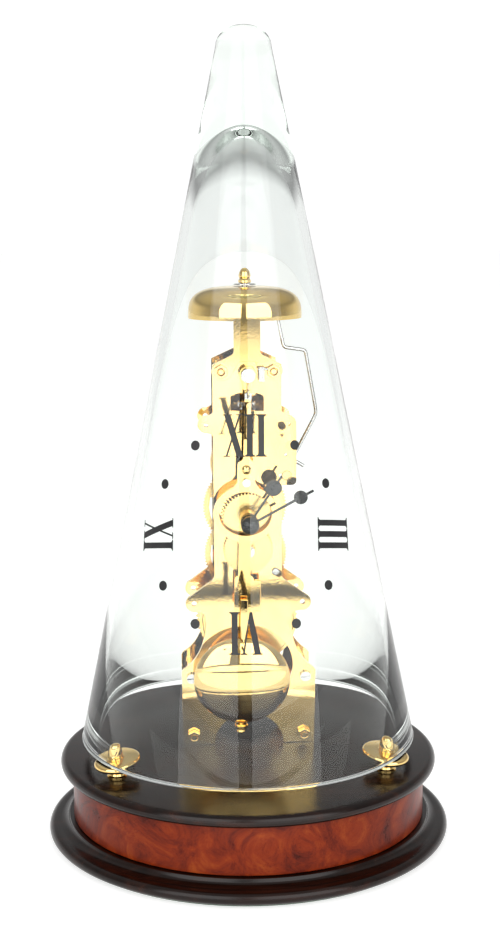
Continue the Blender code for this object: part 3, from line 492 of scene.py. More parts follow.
brass = metal("polished_brass_look", (0.88, 0.64, 0.27), (0.82, 0.56, 0.20), (0.02, 0.10))
wheel_brass = metal("wheel_brass_look", (0.84, 0.60, 0.25), (0.72, 0.48, 0.18), (0.12, 0.32),
                    (1, 1, 1), 1400.0, 0.12)
steel = metal("bright_steel_look", (0.60, 0.59, 0.58), (0.42, 0.41, 0.41), (0.10, 0.32),
              (0.2, 1, 3), 800.0, 0.08)
glass = make_glass_material()
burl = make_burl()
dark_wood = make_dark_wood()
baize = make_baize()
blacked = make_black("blacked_steel_look", (0.18, 0.34), 0.02)
enamel = make_black("black_enamel_look", (0.32, 0.5), 0.012)
LOOKS = {
    "polished_brass": brass,
    "wheel_brass": wheel_brass,
    "bright_steel": steel,
    "clear_glass": glass,
    "burl_veneer": burl,
    "dark_mahogany": dark_wood,
    "baize": baize,
    "blacked_steel": blacked,
}


def dress_frame():
    """Every CAD node gets the look of its slot."""
    for part in frame["record"]["subparts"]:
        node = frame["nodes"][part["node"]]
        node.data.materials.clear()
        node.data.materials.append(LOOKS[part["material_slot"]])


# ---------------------------------------------------------------- base and glass

def cone_r(z):
    """The outer radius of the glass at a height."""
    return RIM_R - CONE_SLOPE * (z - RIM_Z)


def make_base():
    turned("baize_disc", [(0, 0), (89.5, 0), (90, 0.4), (90, 1.2), (0, 1.2)], baize, "frame", "baize",
           stands_for=["base_baize"])
    foot = [(0, 1.5), (FOOT_R, 1.5)] + arc((FOOT_R + 1.0, 4.3), 2.8, -75, 78, 14)
    foot += [(FOOT_R + 0.8, 7.1), (FOOT_R - 1.0, 7.15)]
    foot += arc((89.4, 9.8), (4.6, 2.7), 262, 186, 12) + [(84.5, 10.0), (0, 10.0)]
    turned("foot_moulding", foot, dark_wood, "frame", "dark_mahogany", count=160, stands_for=["base_foot"])
    edge, drum_top = 0.4, DECK_LOW - GAP
    drum = [(0, DRUM_LOW), (DRUM_R - edge, DRUM_LOW), (DRUM_R, DRUM_LOW + edge), (DRUM_R, drum_top - edge)]
    drum += [(DRUM_R - edge, drum_top), (0, drum_top)]
    turned("burl_drum", drum, burl, "frame", "burl_veneer", count=160, stands_for=["base_drum"])
    middle = (DECK_LOW + DECK_Z) / 2
    half = (DECK_Z - DECK_LOW) / 2
    deck = [(0, DECK_LOW)] + arc((DECK_R - half, middle), half, -90, 90, 20) + [(0, DECK_Z)]
    turned("top_disc", deck, dark_wood, "frame", "dark_mahogany", count=160, stands_for=["base_deck"])
    for name in ("left", "right", "rear"):
        low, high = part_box("glass_support_" + name)
        spot = ((low.x + high.x) / 2 / MM, (low.y + high.y) / 2 / MM, 0)
        make_support(name, spot)


def make_support(name, spot):
    """A turned stand let into the deck, the disc that carries the glass and the button inside its rim."""
    low, top = DECK_Z, RIM_Z - GAP
    profile = [(0, low - 3.4), (1.8, low - 3.4), (1.8, low + 0.05), (4.4, low + 0.05), (4.4, low + 0.5)]
    profile += [(3.7, low + 1.0), (3.3, low + 2.0), (3.5, top - 3.7), (4.6, top - 3.5), (4.6, top - 3.0)]
    profile += [(9.4, top - 2.7)] + arc((9.2, top - 1.35), (1.05, 1.35), -70, 90, 10)
    profile += [(3.2, top), (3.2, top + 0.5), (2.9, top + 0.8), (2.85, top + 2.2), (2.45, top + 4.4)]
    profile += arc((0, top + 5.2), (2.1, 2.0), 14, 78, 7) + [(0, top + 7.2)]
    turned("support_" + name, profile, brass, "frame", "polished_brass", count=64, at=spot,
           stands_for=["glass_support_" + name], sharp=28)


def make_glass():
    outer = [(cone_r(z), z) for z in (TIP_Z - 3, 330.0, 290.0, 230.0, 170.0, 110.0, RIM_Z + 1.0)]
    cap = arc((0, TIP_Z - 2.0), (cone_r(TIP_Z - 2.0), TIP_TOP - TIP_Z + 2.0), 80, 4, 14)
    rim = arc((cone_r(RIM_Z) - 1.0, RIM_Z + 1.0), 1.0, -10, -90, 6)
    rim += arc((cone_r(RIM_Z) - WALL + 1.0, RIM_Z + 1.0), 1.0, -90, -170, 6)
    inner = [(cone_r(z) - WALL, z) for z in (110.0, 170.0, 230.0, 275.0)]
    start = (cone_r(DOME_Z) - WALL, DOME_Z)
    shoulder = (cone_r(DOME_Z + 20.0) - WALL, DOME_Z + 20.0)
    dome = cubic(start, shoulder, (10.0, CAVITY_TOP), (0.0, CAVITY_TOP), 26)[:-1]
    profile = [(0, TIP_TOP)] + cap + outer + rim + inner + dome + [(0, CAVITY_TOP)]
    turned("glass_shade", profile, glass, "glass", "clear_glass", count=192, stands_for=["glass_cone"],
           sharp=60)


def meet(a, b, c, d):
    """Where the line through a and b crosses the line through c and d."""
    along, other = (b[0] - a[0], b[1] - a[1]), (d[0] - c[0], d[1] - c[1])
    turn = along[0] * other[1] - along[1] * other[0]
    share = ((c[0] - a[0]) * other[1] - (c[1] - a[1]) * other[0]) / turn
    return (a[0] + share * along[0], a[1] + share * along[1])


def stroke_i():
    """The outline of one serifed stroke, centred on its foot, and the width that it takes up."""
    stem, serif, thin, high = 1.3, 2.35, 0.5, FIGURE_HEIGHT
    quarter = [(serif, 0), (serif, thin), (stem + 0.35, thin + 0.2), (stem, thin + 0.75)]
    right = quarter + [(x, high - z) for x, z in quarter[::-1]]
    return right + mirrored(right)[::-1], 4.9


def stroke_v():
    thin, high = 0.45, FIGURE_HEIGHT
    line = high - thin
    outline = [(-4.8, high), (-0.4, high), (-0.4, line), (-1.3, line - 0.3), (1.1, 5.0), (2.75, line - 0.3)]
    outline += [(1.7, line), (1.7, high), (4.6, high), (4.6, line), (3.6, line - 0.3), (0.75, 0), (-0.35, 0)]
    outline += [(-4.0, line - 0.3), (-4.8, line)]
    return outline, 9.4


def stroke_x():
    thin, high = 0.45, FIGURE_HEIGHT
    line = high - thin
    thick_left = ((-3.9, line), (1.2, thin))
    thick_right = ((-1.1, line), (4.0, thin))
    fine_left = ((2.3, line), (-3.3, thin))
    fine_right = ((3.1, line), (-2.5, thin))
    outline = [(-4.6, high), (-0.5, high), (-0.5, line), thick_right[0], meet(*thick_right, *fine_left)]
    outline += [fine_left[0], (1.3, line), (1.3, high), (4.2, high), (4.2, line), fine_right[0]]
    outline += [meet(*thick_right, *fine_right), thick_right[1], (4.7, thin), (4.7, 0), (0.6, 0), (0.6, thin)]
    outline += [thick_left[1], meet(*thick_left, *fine_right), fine_right[1], (-1.5, thin), (-1.5, 0)]
    outline += [(-4.3, 0), (-4.3, thin), fine_left[1], meet(*thick_left, *fine_left), thick_left[0]]
    outline.append((-4.6, line))
    return outline, 9.2


def on_glass(across, up, lift):
    """A point of the flat dial wrapped round the front of the cone as a sheet of paper would be."""
    slope = atan(CONE_SLOPE)
    apex = RIM_Z + RIM_R / CONE_SLOPE
    down = (apex - DIAL_Z) / cos(slope) - up
    z = apex - hypot(across, down) * cos(slope)
    radius = cone_r(z) + lift
    angle = radians(DIAL_TURN) + atan2(across, down) / sin(slope)
    return (radius * sin(angle), -radius * cos(angle), z)


def printed(name, outlines):
    """Figures a hair's breadth thick on the outside of the glass."""
    shaped = bmesh.new()
    for outline in outlines:
        caps = filled([outline])[1]
        corners = [shaped.verts.new((x, z, 0)) for x, z in outline]
        for cap in caps:
            shaped.faces.new([corners[i] for i in cap])
    step = 1.2
    last = max(v.co.x for v in shaped.verts)
    cut = min(v.co.x for v in shaped.verts) + step
    while cut < last:
        parts = shaped.verts[:] + shaped.edges[:] + shaped.faces[:]
        bmesh.ops.bisect_plane(shaped, geom=parts, plane_co=(cut, 0, 0), plane_no=(1, 0, 0))
        cut += step
    bmesh.ops.recalc_face_normals(shaped, faces=shaped.faces)
    shaped.verts.ensure_lookup_table()
    shaped.verts.index_update()
    count = len(shaped.verts)
    points = [on_glass(v.co.x, v.co.y, 0.02) for v in shaped.verts]
    points += [on_glass(v.co.x, v.co.y, 0.07) for v in shaped.verts]
    faces = [tuple(v.index for v in f.verts) for f in shaped.faces]
    faces += [tuple(v.index + count for v in reversed(f.verts)) for f in shaped.faces]
    for edge in shaped.edges:
        if len(edge.link_faces) == 1:
            a, b = edge.verts[0].index, edge.verts[1].index
            faces.append((a, b, b + count, a + count))
    shaped.free()
    build(name, points, faces, enamel, "glass", "blacked_steel")


def make_dial():
    figures = {0: "XII", 90: "III", 180: "VI", 270: "IX"}
    shapes = {"I": stroke_i, "V": stroke_v, "X": stroke_x}
    for clock_angle in range(0, 360, 30):
        turn = radians(clock_angle)
        if clock_angle not in figures:
            spot = (DOT_RADIUS * sin(turn), DOT_RADIUS * cos(turn))
            printed("dial_dot_" + str(clock_angle), [circle(spot, DOT_R, 40)])
            continue
        letters = [shapes[letter]() for letter in figures[clock_angle]]
        edge = -sum(width for _, width in letters) / 2
        outlines = []
        for outline, width in letters:
            placed = [(x + edge + width / 2, z + FIGURE_RADIUS - FIGURE_HEIGHT / 2) for x, z in outline]
            turned_in = [(x * cos(turn) + z * sin(turn), -x * sin(turn) + z * cos(turn)) for x, z in placed]
            outlines.append(turned_in)
            edge += width
        printed("dial_figure_" + figures[clock_angle].lower(), outlines)


# ---------------------------------------------------------------- plates and fasteners

def plate_outline():
    lug_x, lug_z = UPPER_LUG
    low_x, low_z = LOWER_LUG
    upper_lug = [(SIDE_X, lug_z + 5.6)] + bend((SIDE_X + 0.2, lug_z + 5.0), (SIDE_X + 1.3, lug_z + 3.9),
                                               (lug_x + 0.6, lug_z + 3.8), 6)
    upper_lug += arc((lug_x, lug_z), LUG_R, 76, -76, 26)
    upper_lug += bend((lug_x + 0.6, lug_z - 3.8), (SIDE_X + 1.3, lug_z - 3.9), (SIDE_X + 0.2, lug_z - 5.0), 6)
    upper_lug += [(SIDE_X, lug_z - 5.6)]
    lower = [(SIDE_X, 126.0)] + bend((SIDE_X + 0.1, 124.6), (SIDE_X + 0.5, 122.4), (SIDE_X + 3.0, 121.4), 7)
    lower += arc((low_x, low_z), LUG_R, 66, -100, 30)
    lower += bend((22.6, low_z - 4.0), (19.6, low_z - 4.4), (19.4, 104.6), 9)
    lower += bend((19.4, 102.0), (20.6, 86.5), (30.2, 79.4), 26)
    lower += [(31.0, 78.2), (31.1, PLATE_LOW), (FOOT_ARCH_R, PLATE_LOW)]
    cheek = [(SIDE_X, 199.9)] + arc((lug_x - 0.15, lug_z), LUG_R, 80, 0, 14)
    cheek += arc((19.9, 168.5), 2.0, 0, -90, 9) + [(SIDE_X, 166.5)]
    crown = [(4.75, PLATE_TOP), (SIDE_X, PLATE_SHOULDER)]
    left = mirrored(crown + upper_lug + lower)
    right = crown + cheek + lower
    return left + arc((0, PLATE_LOW), FOOT_ARCH_R, 174, 6, 48) + right[::-1]


def plate_holes(front):
    holes = [circle((0, OPENING_Z), OPENING_R if front else BACK_OPENING_R, 96)]
    for side in (-1, 1):
        holes.append(circle((side * UPPER_LUG[0], UPPER_LUG[1]), 1.2, 24))
        holes.append(circle((side * LOWER_LUG[0], LOWER_LUG[1]), 1.2, 24))
        for x, z in (TOP_PILLAR, MID_PILLAR, FOOT_PILLAR):
            holes.append(circle((side * x, z), BOLT_HOLE_R, 24))
    for z in (SECOND_Z, THIRD_Z, ESCAPE_Z, SWING_Z):
        holes.append(circle((0, z), PIVOT_HOLE_R, 20))
    holes.append(circle(HAMMER_PIVOT, PIVOT_HOLE_R, 20))
    holes.append(circle((0, CENTRE_Z), 1.4 if front else PIVOT_HOLE_R, 24))
    holes.append(circle((0, BARREL_Z), PIVOT_HOLE_R if front else 2.4, 28))
    if front:
        crutch_window = [(-7.4, 200.4), (7.4, 200.4), (7.4, 206.8)]
        crutch_window += arc((0, 206.6), (7.4, 2.2), 12, 168, 24) + [(-7.4, 206.8)]
        holes.append(crutch_window)
        holes.append(circle((0, COCK_Z), SCREW_HOLE_R, 24))
        holes.append(circle((0, MINUTE_WHEEL_Z), SCREW_HOLE_R, 24))
        holes.append(circle((15.4, 189.3), 0.75, 20))
        holes.append(circle((15.4, 170.8), 1.3, 20))
    else:
        holes.append(circle((12.6, 111.6), 1.3, 24))
    return holes


def make_plates():
    front = prism("plate_front", plate_outline(), FRONT_Y, PLATE_IN, brass, "frame", "polished_brass",
                  plate_holes(True), stands_for=["front_plate"])
    back = prism("plate_back", plate_outline(), BACK_IN, BACK_Y, brass, "frame", "polished_brass",
                 plate_holes(False), stands_for=["back_plate"])
    bevelled(front, 0.22)
    bevelled(back, 0.22)
    stud = [(0, FRONT_Y - 0.8), (1.3, FRONT_Y - 0.75), (1.8, FRONT_Y - 0.3), (1.8, FRONT_Y), (0, FRONT_Y)]
    turned("plate_stud", stud, steel, "frame", "bright_steel", "Y", 32, at=(12.4, 0, 126.6))
    bush = [(0, FRONT_Y - 0.35), (2.0, FRONT_Y - 0.3), (2.3, FRONT_Y), (0, FRONT_Y)]
    turned("plate_bush", bush, wheel_brass, "frame", "wheel_brass", "Y", 36, at=(17.6, 0, 170.9))


def make_pillars():
    low, high = PLATE_IN + GAP, BACK_IN - GAP
    shoulder = [(2.7, 0), (2.7, 1.4), (2.4, 1.6), (2.05, 2.4), (2.0, 4)]
    body = [(radius, high - inset) for radius, inset in shoulder]
    body += [(radius, low + inset) for radius, inset in shoulder[::-1]]
    for side, name in ((-1, "left"), (1, "right")):
        for level, (x, z) in (("top", TOP_PILLAR), ("middle", MID_PILLAR), ("foot", FOOT_PILLAR)):
            reach = {"top": FRONT_Y - 3.9, "middle": low, "foot": FRONT_Y - 2.8}[level]
            profile = [(0, BACK_Y + 0.7), (1.2, BACK_Y + 0.6), (1.4, BACK_Y + 0.3), (1.4, high)] + body
            profile += [(1.4, low), (1.4, reach + 0.3), (1.1, reach), (0, reach)]
            node = "pillar_" + level + "_" + name
            turned(node + "_look", profile, brass, "frame", "polished_brass", "Y", 40, at=(side * x, 0, z),
                   stands_for=[node], sharp=30)
        make_nut("nut_top_" + name, (side * TOP_PILLAR[0], TOP_PILLAR[1]), FRONT_Y - 1.8, 2.4)
        make_nut("nut_foot_" + name, (side * FOOT_PILLAR[0], FOOT_PILLAR[1]), FRONT_Y - GAP, 2.7)
        make_screw("screw_middle_" + name, (side * MID_PILLAR[0], MID_PILLAR[1]), FRONT_Y - GAP, 2.5, 1.7, 84)


def make_nut(name, spot, back, thick):
    """A hexagon nut with rounded edges; back is the y of its face on the plate."""
    bore = circle((0, 0), BOLT_HOLE_R, 36)
    hexagon = arc((0, 0), 3.25, 30, 330, 6)
    nut = prism(name + "_look", hexagon, back, back - thick, brass, "frame", "polished_brass", [bore],
                at=(spot[0], 0, spot[1]), stands_for=[name])
    bevelled(nut, 0.35, 3)


def slotted(centre_z, head_r):
    """The two halves of a screw head, above and below its slot."""
    start = degrees(asin(SLOT_HALF / head_r))
    upper = arc((0, centre_z), head_r, start, 180 - start, 30)
    return ("a", upper), ("b", [(x, 2 * centre_z - z) for x, z in upper[::-1]])


def make_screw(name, spot, seat, head_r, head_h, turn):
    """A cheese-head screw on the frame: a disc, and on it the head's two halves with a slot between."""
    floor = seat - head_h + 0.85
    placed = {"at": (spot[0], 0, spot[1]), "tilt": turn - 90}
    prism(name + "_look", circle((0, 0), head_r, 60), seat, floor, steel, "frame", "bright_steel",
          stands_for=[name], **placed)
    for key, outline in slotted(0, head_r):
        piece = prism(name + "_head_" + key, outline, floor + 0.02, seat - head_h, steel, "frame",
                      "bright_steel", **placed)
        bevelled(piece, 0.16, 2, 60)


# ---------------------------------------------------------------- bell and hammer

def make_bell():
    half = 5.9
    x, z = TOP_PILLAR
    top = TONGUE_LOW + 1.3
    ear = [(half, 226.9)] + bend((half + 0.4, 226.2), (half + 0.9, 225.6), (half + 2.0, 225.1), 5)
    ear += [(x + 2.2, z + 3.75)] + arc((x, z), 4.1, 44, -100, 30)
    ear += bend((x - 1.6, z - 3.9), (x - 3.4, z - 3.8), (x - 4.4, z - 2.2), 6) + [(3.4, 222.7)]
    outline = [(half, top)] + ear + mirrored(ear)[::-1] + [(-half, top)]
    holes = [circle((side * x, z), BOLT_HOLE_R, 30) for side in (-1, 1)]
    strip = prism("bracket_strip", outline, BRACKET_FRONT, BRACKET_BACK, brass, "frame", "polished_brass",
                  holes, stands_for=["bell_bracket"])
    bevelled(strip, 0.18)
    width = half - 0.1
    flat = [(-width, BRACKET_FRONT + 0.5), (width, BRACKET_FRONT + 0.5)] + arc((0, BELL_Y), width, 0, 180, 30)
    count = len(flat)
    points = [(px, py, TONGUE_LOW) for px, py in flat] + [(px, py, TONGUE_LOW + 1.2) for px, py in flat]
    faces = [tuple(range(count)), tuple(range(count, 2 * count))]
    faces += [(i, (i + 1) % count, (i + 1) % count + count, i + count) for i in range(count)]
    build("bracket_tongue", points, faces, brass, "frame", "polished_brass")
    make_bell_stack()


def make_bell_stack():
    """The stud in the bracket, and on it the bell, its washer and its domed nut."""
    at = (0, BELL_Y, 0)
    stud_r = 1.45
    stud = [(0, 245.9), (2.8, 245.9), (3.0, 246.1), (3.0, 247.85), (stud_r, 247.85), (stud_r, 249.1)]
    stud += [(3.2, 249.1), (3.2, 253.2), (stud_r, 253.3), (stud_r, 260.4), (0, 260.4)]
    turned("bell_stud", stud, steel, "frame", "bright_steel", count=40, at=at)
    outer = bell_curve(BELL_R, BELL_TOP)
    inner = bell_curve(BELL_R - BELL_WALL, BELL_TOP - BELL_WALL)
    turned("bell_dome", outer + inner[::-1], brass, "frame", "polished_brass", count=160, at=at,
           stands_for=["bell"], sharp=40)
    washer = [(BELL_BORE_R, 255.85), (5.0, 255.85), (5.15, 256.0), (5.1, 256.35), (4.9, 256.45)]
    washer += [(BELL_BORE_R, 256.45)]
    turned("bell_washer_look", washer, steel, "frame", "bright_steel", count=64, at=at,
           stands_for=["bell_washer"])
    nut = [(0, 256.7), (2.6, 256.7), (2.95, 257.0), (2.95, 257.9), (2.6, 258.3), (2.35, 258.6), (2.5, 259.0)]
    nut += arc((0, 259.3), (2.8, 4.2), 6, 78, 14) + [(0, 263.5)]
    turned("acorn_nut_look", nut, brass, "frame", "polished_brass", count=48, at=at,
           stands_for=["bell_acorn_nut"], sharp=30)


def bell_curve(radius, top):
    """One face of the bell in profile, from the rim in to the bore: flat on top and steep at the rim."""
    count = 26
    angles = [radians(90 * (i / count) ** 1.3) for i in range(count)]
    curve = [(radius * cos(a) ** 0.6, BELL_RIM_Z + (top - BELL_RIM_Z) * sin(a) ** 0.6) for a in angles]
    return curve + [(BELL_BORE_R, top)]


def make_hammer():
    pivot_x, pivot_z = HAMMER_PIVOT
    path = [HAMMER_PIVOT, (20.8, 176.9), (22.6, 177.1), (32.9, 196.2), (33.0, 198.6), (28.1, 225.9)]
    path += [(17.9, 227.3), (15.4, 239.6), (15.4, 247.2)]
    wire("hammer_wire", path, 0.85, HAMMER_Y, steel, "hammer", "bright_steel", stands_for=["hammer"])
    wire("hammer_tail", [(17.6, 177.9), (27.1, 172.3)], 0.8, HAMMER_Y, steel, "hammer", "bright_steel")
    pivot, stem, hub = 0.6, 1.1, 3.4
    low, high = HAMMER_Y - 2.2, HAMMER_Y + 2.2
    staff = [(0, FRONT_Y + 0.2), (pivot, FRONT_Y + 0.2), (pivot, PLATE_IN + 0.4), (stem, PLATE_IN + 0.4)]
    staff += [(stem, low), (hub - 0.3, low), (hub, low + 0.3), (hub, high - 0.3), (hub - 0.3, high)]
    staff += [(stem, high), (stem, BACK_IN - 0.4), (pivot, BACK_IN - 0.4), (pivot, BACK_Y - 0.2)]
    staff += [(0, BACK_Y - 0.2)]
    turned("hammer_arbor", staff, steel, "hammer", "bright_steel", "Y", 36, at=(pivot_x, 0, pivot_z))
    head = [(0, 12.6), (1.9, 12.6), (2.3, 13.0), (2.3, 18.6), (2.1, 18.9), (2.1, 19.3), (1.9, 20.3)]
    head += [(1.2, 20.8), (0, 20.9)]
    turned("hammer_head_look", head, brass, "hammer", "polished_brass", "X", 48, at=(0, HAMMER_Y, 244.4),
           stands_for=["hammer_head"])


# ---------------------------------------------------------------- hands and motion work

def make_hands():
    at = (0, 0, CENTRE_Z)
    bar = 0.5
    for name, collet, disc_r, disc_at, tip_at, y0, bore, angle in (
        ("hour_hand", 4.0, 3.6, 19.0, 25.5, -27.2, 3.3, 34.0),
        ("minute_hand", 3.6, 3.0, 25.1, 31.4, -30.9, 2.05, 61.4),
    ):
        low = degrees(asin(bar / collet))
        disc = degrees(asin(bar / disc_r))
        right = arc((0, disc_at), disc_r, -90 + disc, 90 - disc, 32)
        outline = arc((0, 0), collet, 90 + low, 450 - low, 48) + right
        outline += [(bar, tip_at - 0.3), (bar * 0.5, tip_at), (-bar * 0.5, tip_at), (-bar, tip_at - 0.3)]
        outline += mirrored(right)[::-1]
        body = name.split("_")[0]
        hand = prism(name + "_look", outline, y0, y0 + 0.9, blacked, body, "blacked_steel",
                     [circle((0, 0), bore, 36)], at=at, tilt=angle, stands_for=[name])
        bevelled(hand, 0.14)
    base, pipe_end = -31.8, -33.8
    dome = [(0, pipe_end), (1.2, pipe_end), (1.2, base), (4.0, base)]
    dome += arc((0, base), (4.05, 3.1), 0, -84, 18) + [(0, -34.9)]
    turned("hand_boss_look", dome, blacked, "minute", "blacked_steel", "Y", 64, at=at,
           stands_for=["hand_boss"])


# ---------------------------------------------------------------- pendulum and suspension

def hang(z):
    """A height measured from the point that the pendulum swings about."""
    return z - SWING_Z


def make_pendulum():
    at = (0, 0, SWING_Z)
    ring = (0, hang(RING_Z))
    right = [(1.45, hang(207.0)), (1.45, hang(181.2))]
    right += bend((1.5, hang(180.6)), (1.8, hang(179.6)), (2.8, hang(179.2)), 6)
    right += bend((3.0, hang(179.1)), (4.0, hang(178.6)), (4.0, hang(177.2)), 6)
    right += [(4.0, hang(169.6))] + arc(ring, (14.4, 12.8), 66, -72, 70)
    right += bend((3.4, hang(142.9)), (2.7, hang(142.2)), (2.7, hang(141.0)), 5)
    right += [(2.7, hang(127.6))] + bend((2.8, hang(127.0)), (4.3, hang(126.6)), (4.3, hang(125.0)), 5)
    right += [(4.3, hang(110.2))]
    strip = prism("rod_strip", right + mirrored(right)[::-1], ROD_FRONT, ROD_BACK, brass, "pendulum",
                  "polished_brass", [circle(ring, (11.7, 9.9), 110)], at=at, tilt=SWING_NOW,
                  stands_for=["pendulum_rod"])
    bevelled(strip, 0.28, 3)
    hook_low, hook_slot = hang(206.9), hang(207.6)
    head = [(-1.5, hook_low), (1.5, hook_low), (1.5, hang(209.6)), (0.5, hang(209.8)), (0.5, hook_slot)]
    head += [(-0.5, hook_slot), (-0.5, hang(209.8)), (-1.5, hang(209.6))]
    block = prism("rod_hook", head, ROD_FRONT - 0.8, ROD_BACK + 1.0, steel, "pendulum", "bright_steel", at=at,
                  tilt=SWING_NOW)
    bevelled(block, 0.15)
    shank = [(0, hang(51.4)), (1.1, hang(51.5)), (1.25, hang(51.7)), (1.25, hang(110.25)), (0, hang(110.25))]
    turned("rod_thread", shank, brass, "pendulum", "polished_brass", count=28, at=(0, ROD_Y, SWING_Z),
           tilt=SWING_NOW)
    face = ROD_FRONT
    stud = [(0, face), (2.1, face), (2.1, face - 0.3), (1.9, face - 0.5), (0.6, face - 1.5), (0, face - 1.6)]
    pendulum_turned("rod_stud", stud, "pendulum", (0, 175.4), 40)


def pendulum_turned(name, profile, body, spot, count, **rest):
    """A brass piece turned about Y on the pendulum; spot is its y and z when the pendulum hangs straight."""
    tilt = radians(SWING_NOW)
    drop = hang(spot[1])
    at = (drop * sin(tilt), spot[0], SWING_Z + drop * cos(tilt))
    return turned(name, profile, brass, body, "polished_brass", "Y", count, at=at, tilt=SWING_NOW, **rest)


def make_pendulum_parts():
    at = (0, 0, SWING_Z)
    plate = [(-3.6, hang(CLAMP_LOW)), (7.6, hang(CLAMP_LOW)), (7.6, hang(124.6)), (-3.6, hang(124.6))]
    clamp = prism("clamp_plate", plate, ROD_BACK + GAP, ROD_BACK + 2.9, brass, "pendulum", "polished_brass",
                  at=at, tilt=SWING_NOW, stands_for=["pendulum_clamp"])
    bevelled(clamp, 0.35, 3)

    half, top, shoulder = 1.6, hang(117.0), hang(105.0)
    needle = [(-half, top), (-half, shoulder), (0, hang(96.2)), (half, shoulder), (half, top)]
    pointer = prism("pointer_blade", needle, ROD_FRONT - 4.0, ROD_FRONT - 3.0, brass, "pendulum",
                    "polished_brass", at=at, tilt=SWING_NOW, stands_for=["pendulum_pointer"])
    bevelled(pointer, 0.25, 2)
    far, near = ROD_FRONT - 3.05, ROD_FRONT - GAP
    boss = [(0, far), (1.2, far), (1.2, near), (0, near)]
    pendulum_turned("pointer_boss", boss, "pendulum", (0, 114.6), 32)
    make_pendulum_screw()
    make_bob()
    make_rating_nut()


def make_pendulum_screw():
    centre, head_r = hang(ROD_SCREW_Z), 1.8
    seat = ROD_FRONT - GAP
    placed = {"at": (0, 0, SWING_Z), "tilt": SWING_NOW}
    for key, outline in slotted(centre, head_r):
        piece = prism("pendulum_screw_head_" + key, outline, seat - 0.45, seat - 1.2, steel, "pendulum",
                      "bright_steel", **placed)
        bevelled(piece, 0.15, 2, 60)
    prism("pendulum_screw_base", circle((0, centre), head_r, 60), seat, seat - 0.43, steel, "pendulum",
          "bright_steel", stands_for=["pendulum_screw"], **placed)


def make_bob():
    """A lens turned about Y, a little pointed at its middle, with a narrow flat edge."""
    count = 30
    turn = [radians(90 * i / count) for i in range(count)]
    lens = [(BOB_R * sin(a), min(-BOB_HALF * cos(a) ** 1.15, -0.35)) for a in turn]
    edge = BOB_R + 0.02
    profile = lens + [(edge, -0.2), (edge, 0.2)] + [(r, -y) for r, y in lens[::-1]]
    pendulum_turned("bob_lens", profile, "bob", (ROD_Y, BOB_Z), 128, stands_for=["pendulum_bob"])


def make_rating_nut():
    top = hang(BOB_Z - BOB_R - 0.5)
    nut = [(0, top - 2.2), (1.35, top - 2.2), (1.35, top), (2.4, top), (3.1, top - 0.5), (3.15, top - 1.2)]
    nut += [(3.1, top - 1.9), (2.5, top - 2.4), (1.8, top - 2.7), (1.65, top - 3.1), (1.9, top - 3.9)]
    nut += [(1.7, top - 4.6), (1.0, top - 5.0), (0, top - 5.1)]
    turned("rating_nut_look", nut, brass, "rating_nut", "polished_brass", count=48,
           at=(0, ROD_Y, SWING_Z), tilt=SWING_NOW, stands_for=["rating_nut"], sharp=30)


def make_suspension():
    """The cock that carries the pendulum's spring in its slot, its screw, and the lock beside it."""
    front, step = FRONT_Y - 6.6, -16.0
    round_top = arc((0, COCK_Z), 3.9, -50, 230, 60)
    low, slot, slot_top = 210.3, 0.45, 214.7
    slot_sides = [(-slot, low), (-slot, slot_top), (slot, slot_top), (slot, low)]
    forked = round_top + [(-1.7, low)] + slot_sides + [(1.7, low)]
    cock = prism("cock_block", forked, front, step, brass, "frame", "polished_brass",
                 stands_for=["suspension_cock"])
    rear = prism("cock_back", round_top + [(-1.7, low), (1.7, low)], step + 0.02, -13.15, brass, "frame",
                 "polished_brass")
    bevelled(cock, 0.3, 3)
    bevelled(rear, 0.2, 2)
    make_screw("suspension_screw", (0, COCK_Z), front - GAP, 3.1, 2.1, 88)
    make_screw("minute_wheel_stud", (0, MINUTE_WHEEL_Z), -18.1, 2.6, 1.4, 38)
    bar = [(4.9, 213.9), (7.5, 213.9), (7.5, 220.6), (4.9, 220.6)]
    lock = prism("lock_bar", bar, -18.0, -16.6, steel, "frame", "bright_steel",
                 stands_for=["suspension_lock"])
    bevelled(lock, 0.3, 3)
    pin = [(0, 4.4), (0.5, 4.45), (0.55, 4.6), (0.55, 8.8), (0.5, 8.95), (0, 9.0)]
    turned("lock_pin", pin, steel, "frame", "bright_steel", "X", 24, at=(0, -17.3, 219.6))


# ---------------------------------------------------------------- studio

def stage_material(name, colour, rough, glow):
    made, nodes, links, shader = new_material(name)
    tone = noise(nodes, links, coordinates(nodes, links), 3.0, 2.0)
    low = tuple(0.99 * c for c in colour)
    shade = ramp(nodes, links, tone.outputs["Fac"], [(0.3, low), (0.7, colour)])
    links.new(shade, shader.inputs["Base Color"])
    shader.inputs["Roughness"].default_value = rough
    shader.inputs["Specular IOR Level"].default_value = 0.1
    shader.inputs["Emission Color"].default_value = (1, 1, 1, 1)
    shader.inputs["Emission Strength"].default_value = glow
    return made


def stage_plane(name, xs, ys, z, finish):
    """A level rectangle between two x and two y values."""
    corners = [(xs[0], ys[0]), (xs[1], ys[0]), (xs[1], ys[1]), (xs[0], ys[1])]
    mesh = bpy.data.meshes.new(name)
    mesh.from_pydata([(MM * x, MM * y, MM * z) for x, y in corners], [], [(0, 1, 2, 3)])
    mesh.materials.append(finish)
    plane = bpy.data.objects.new(name, mesh)
    bpy.context.scene.collection.objects.link(plane)
    return plane


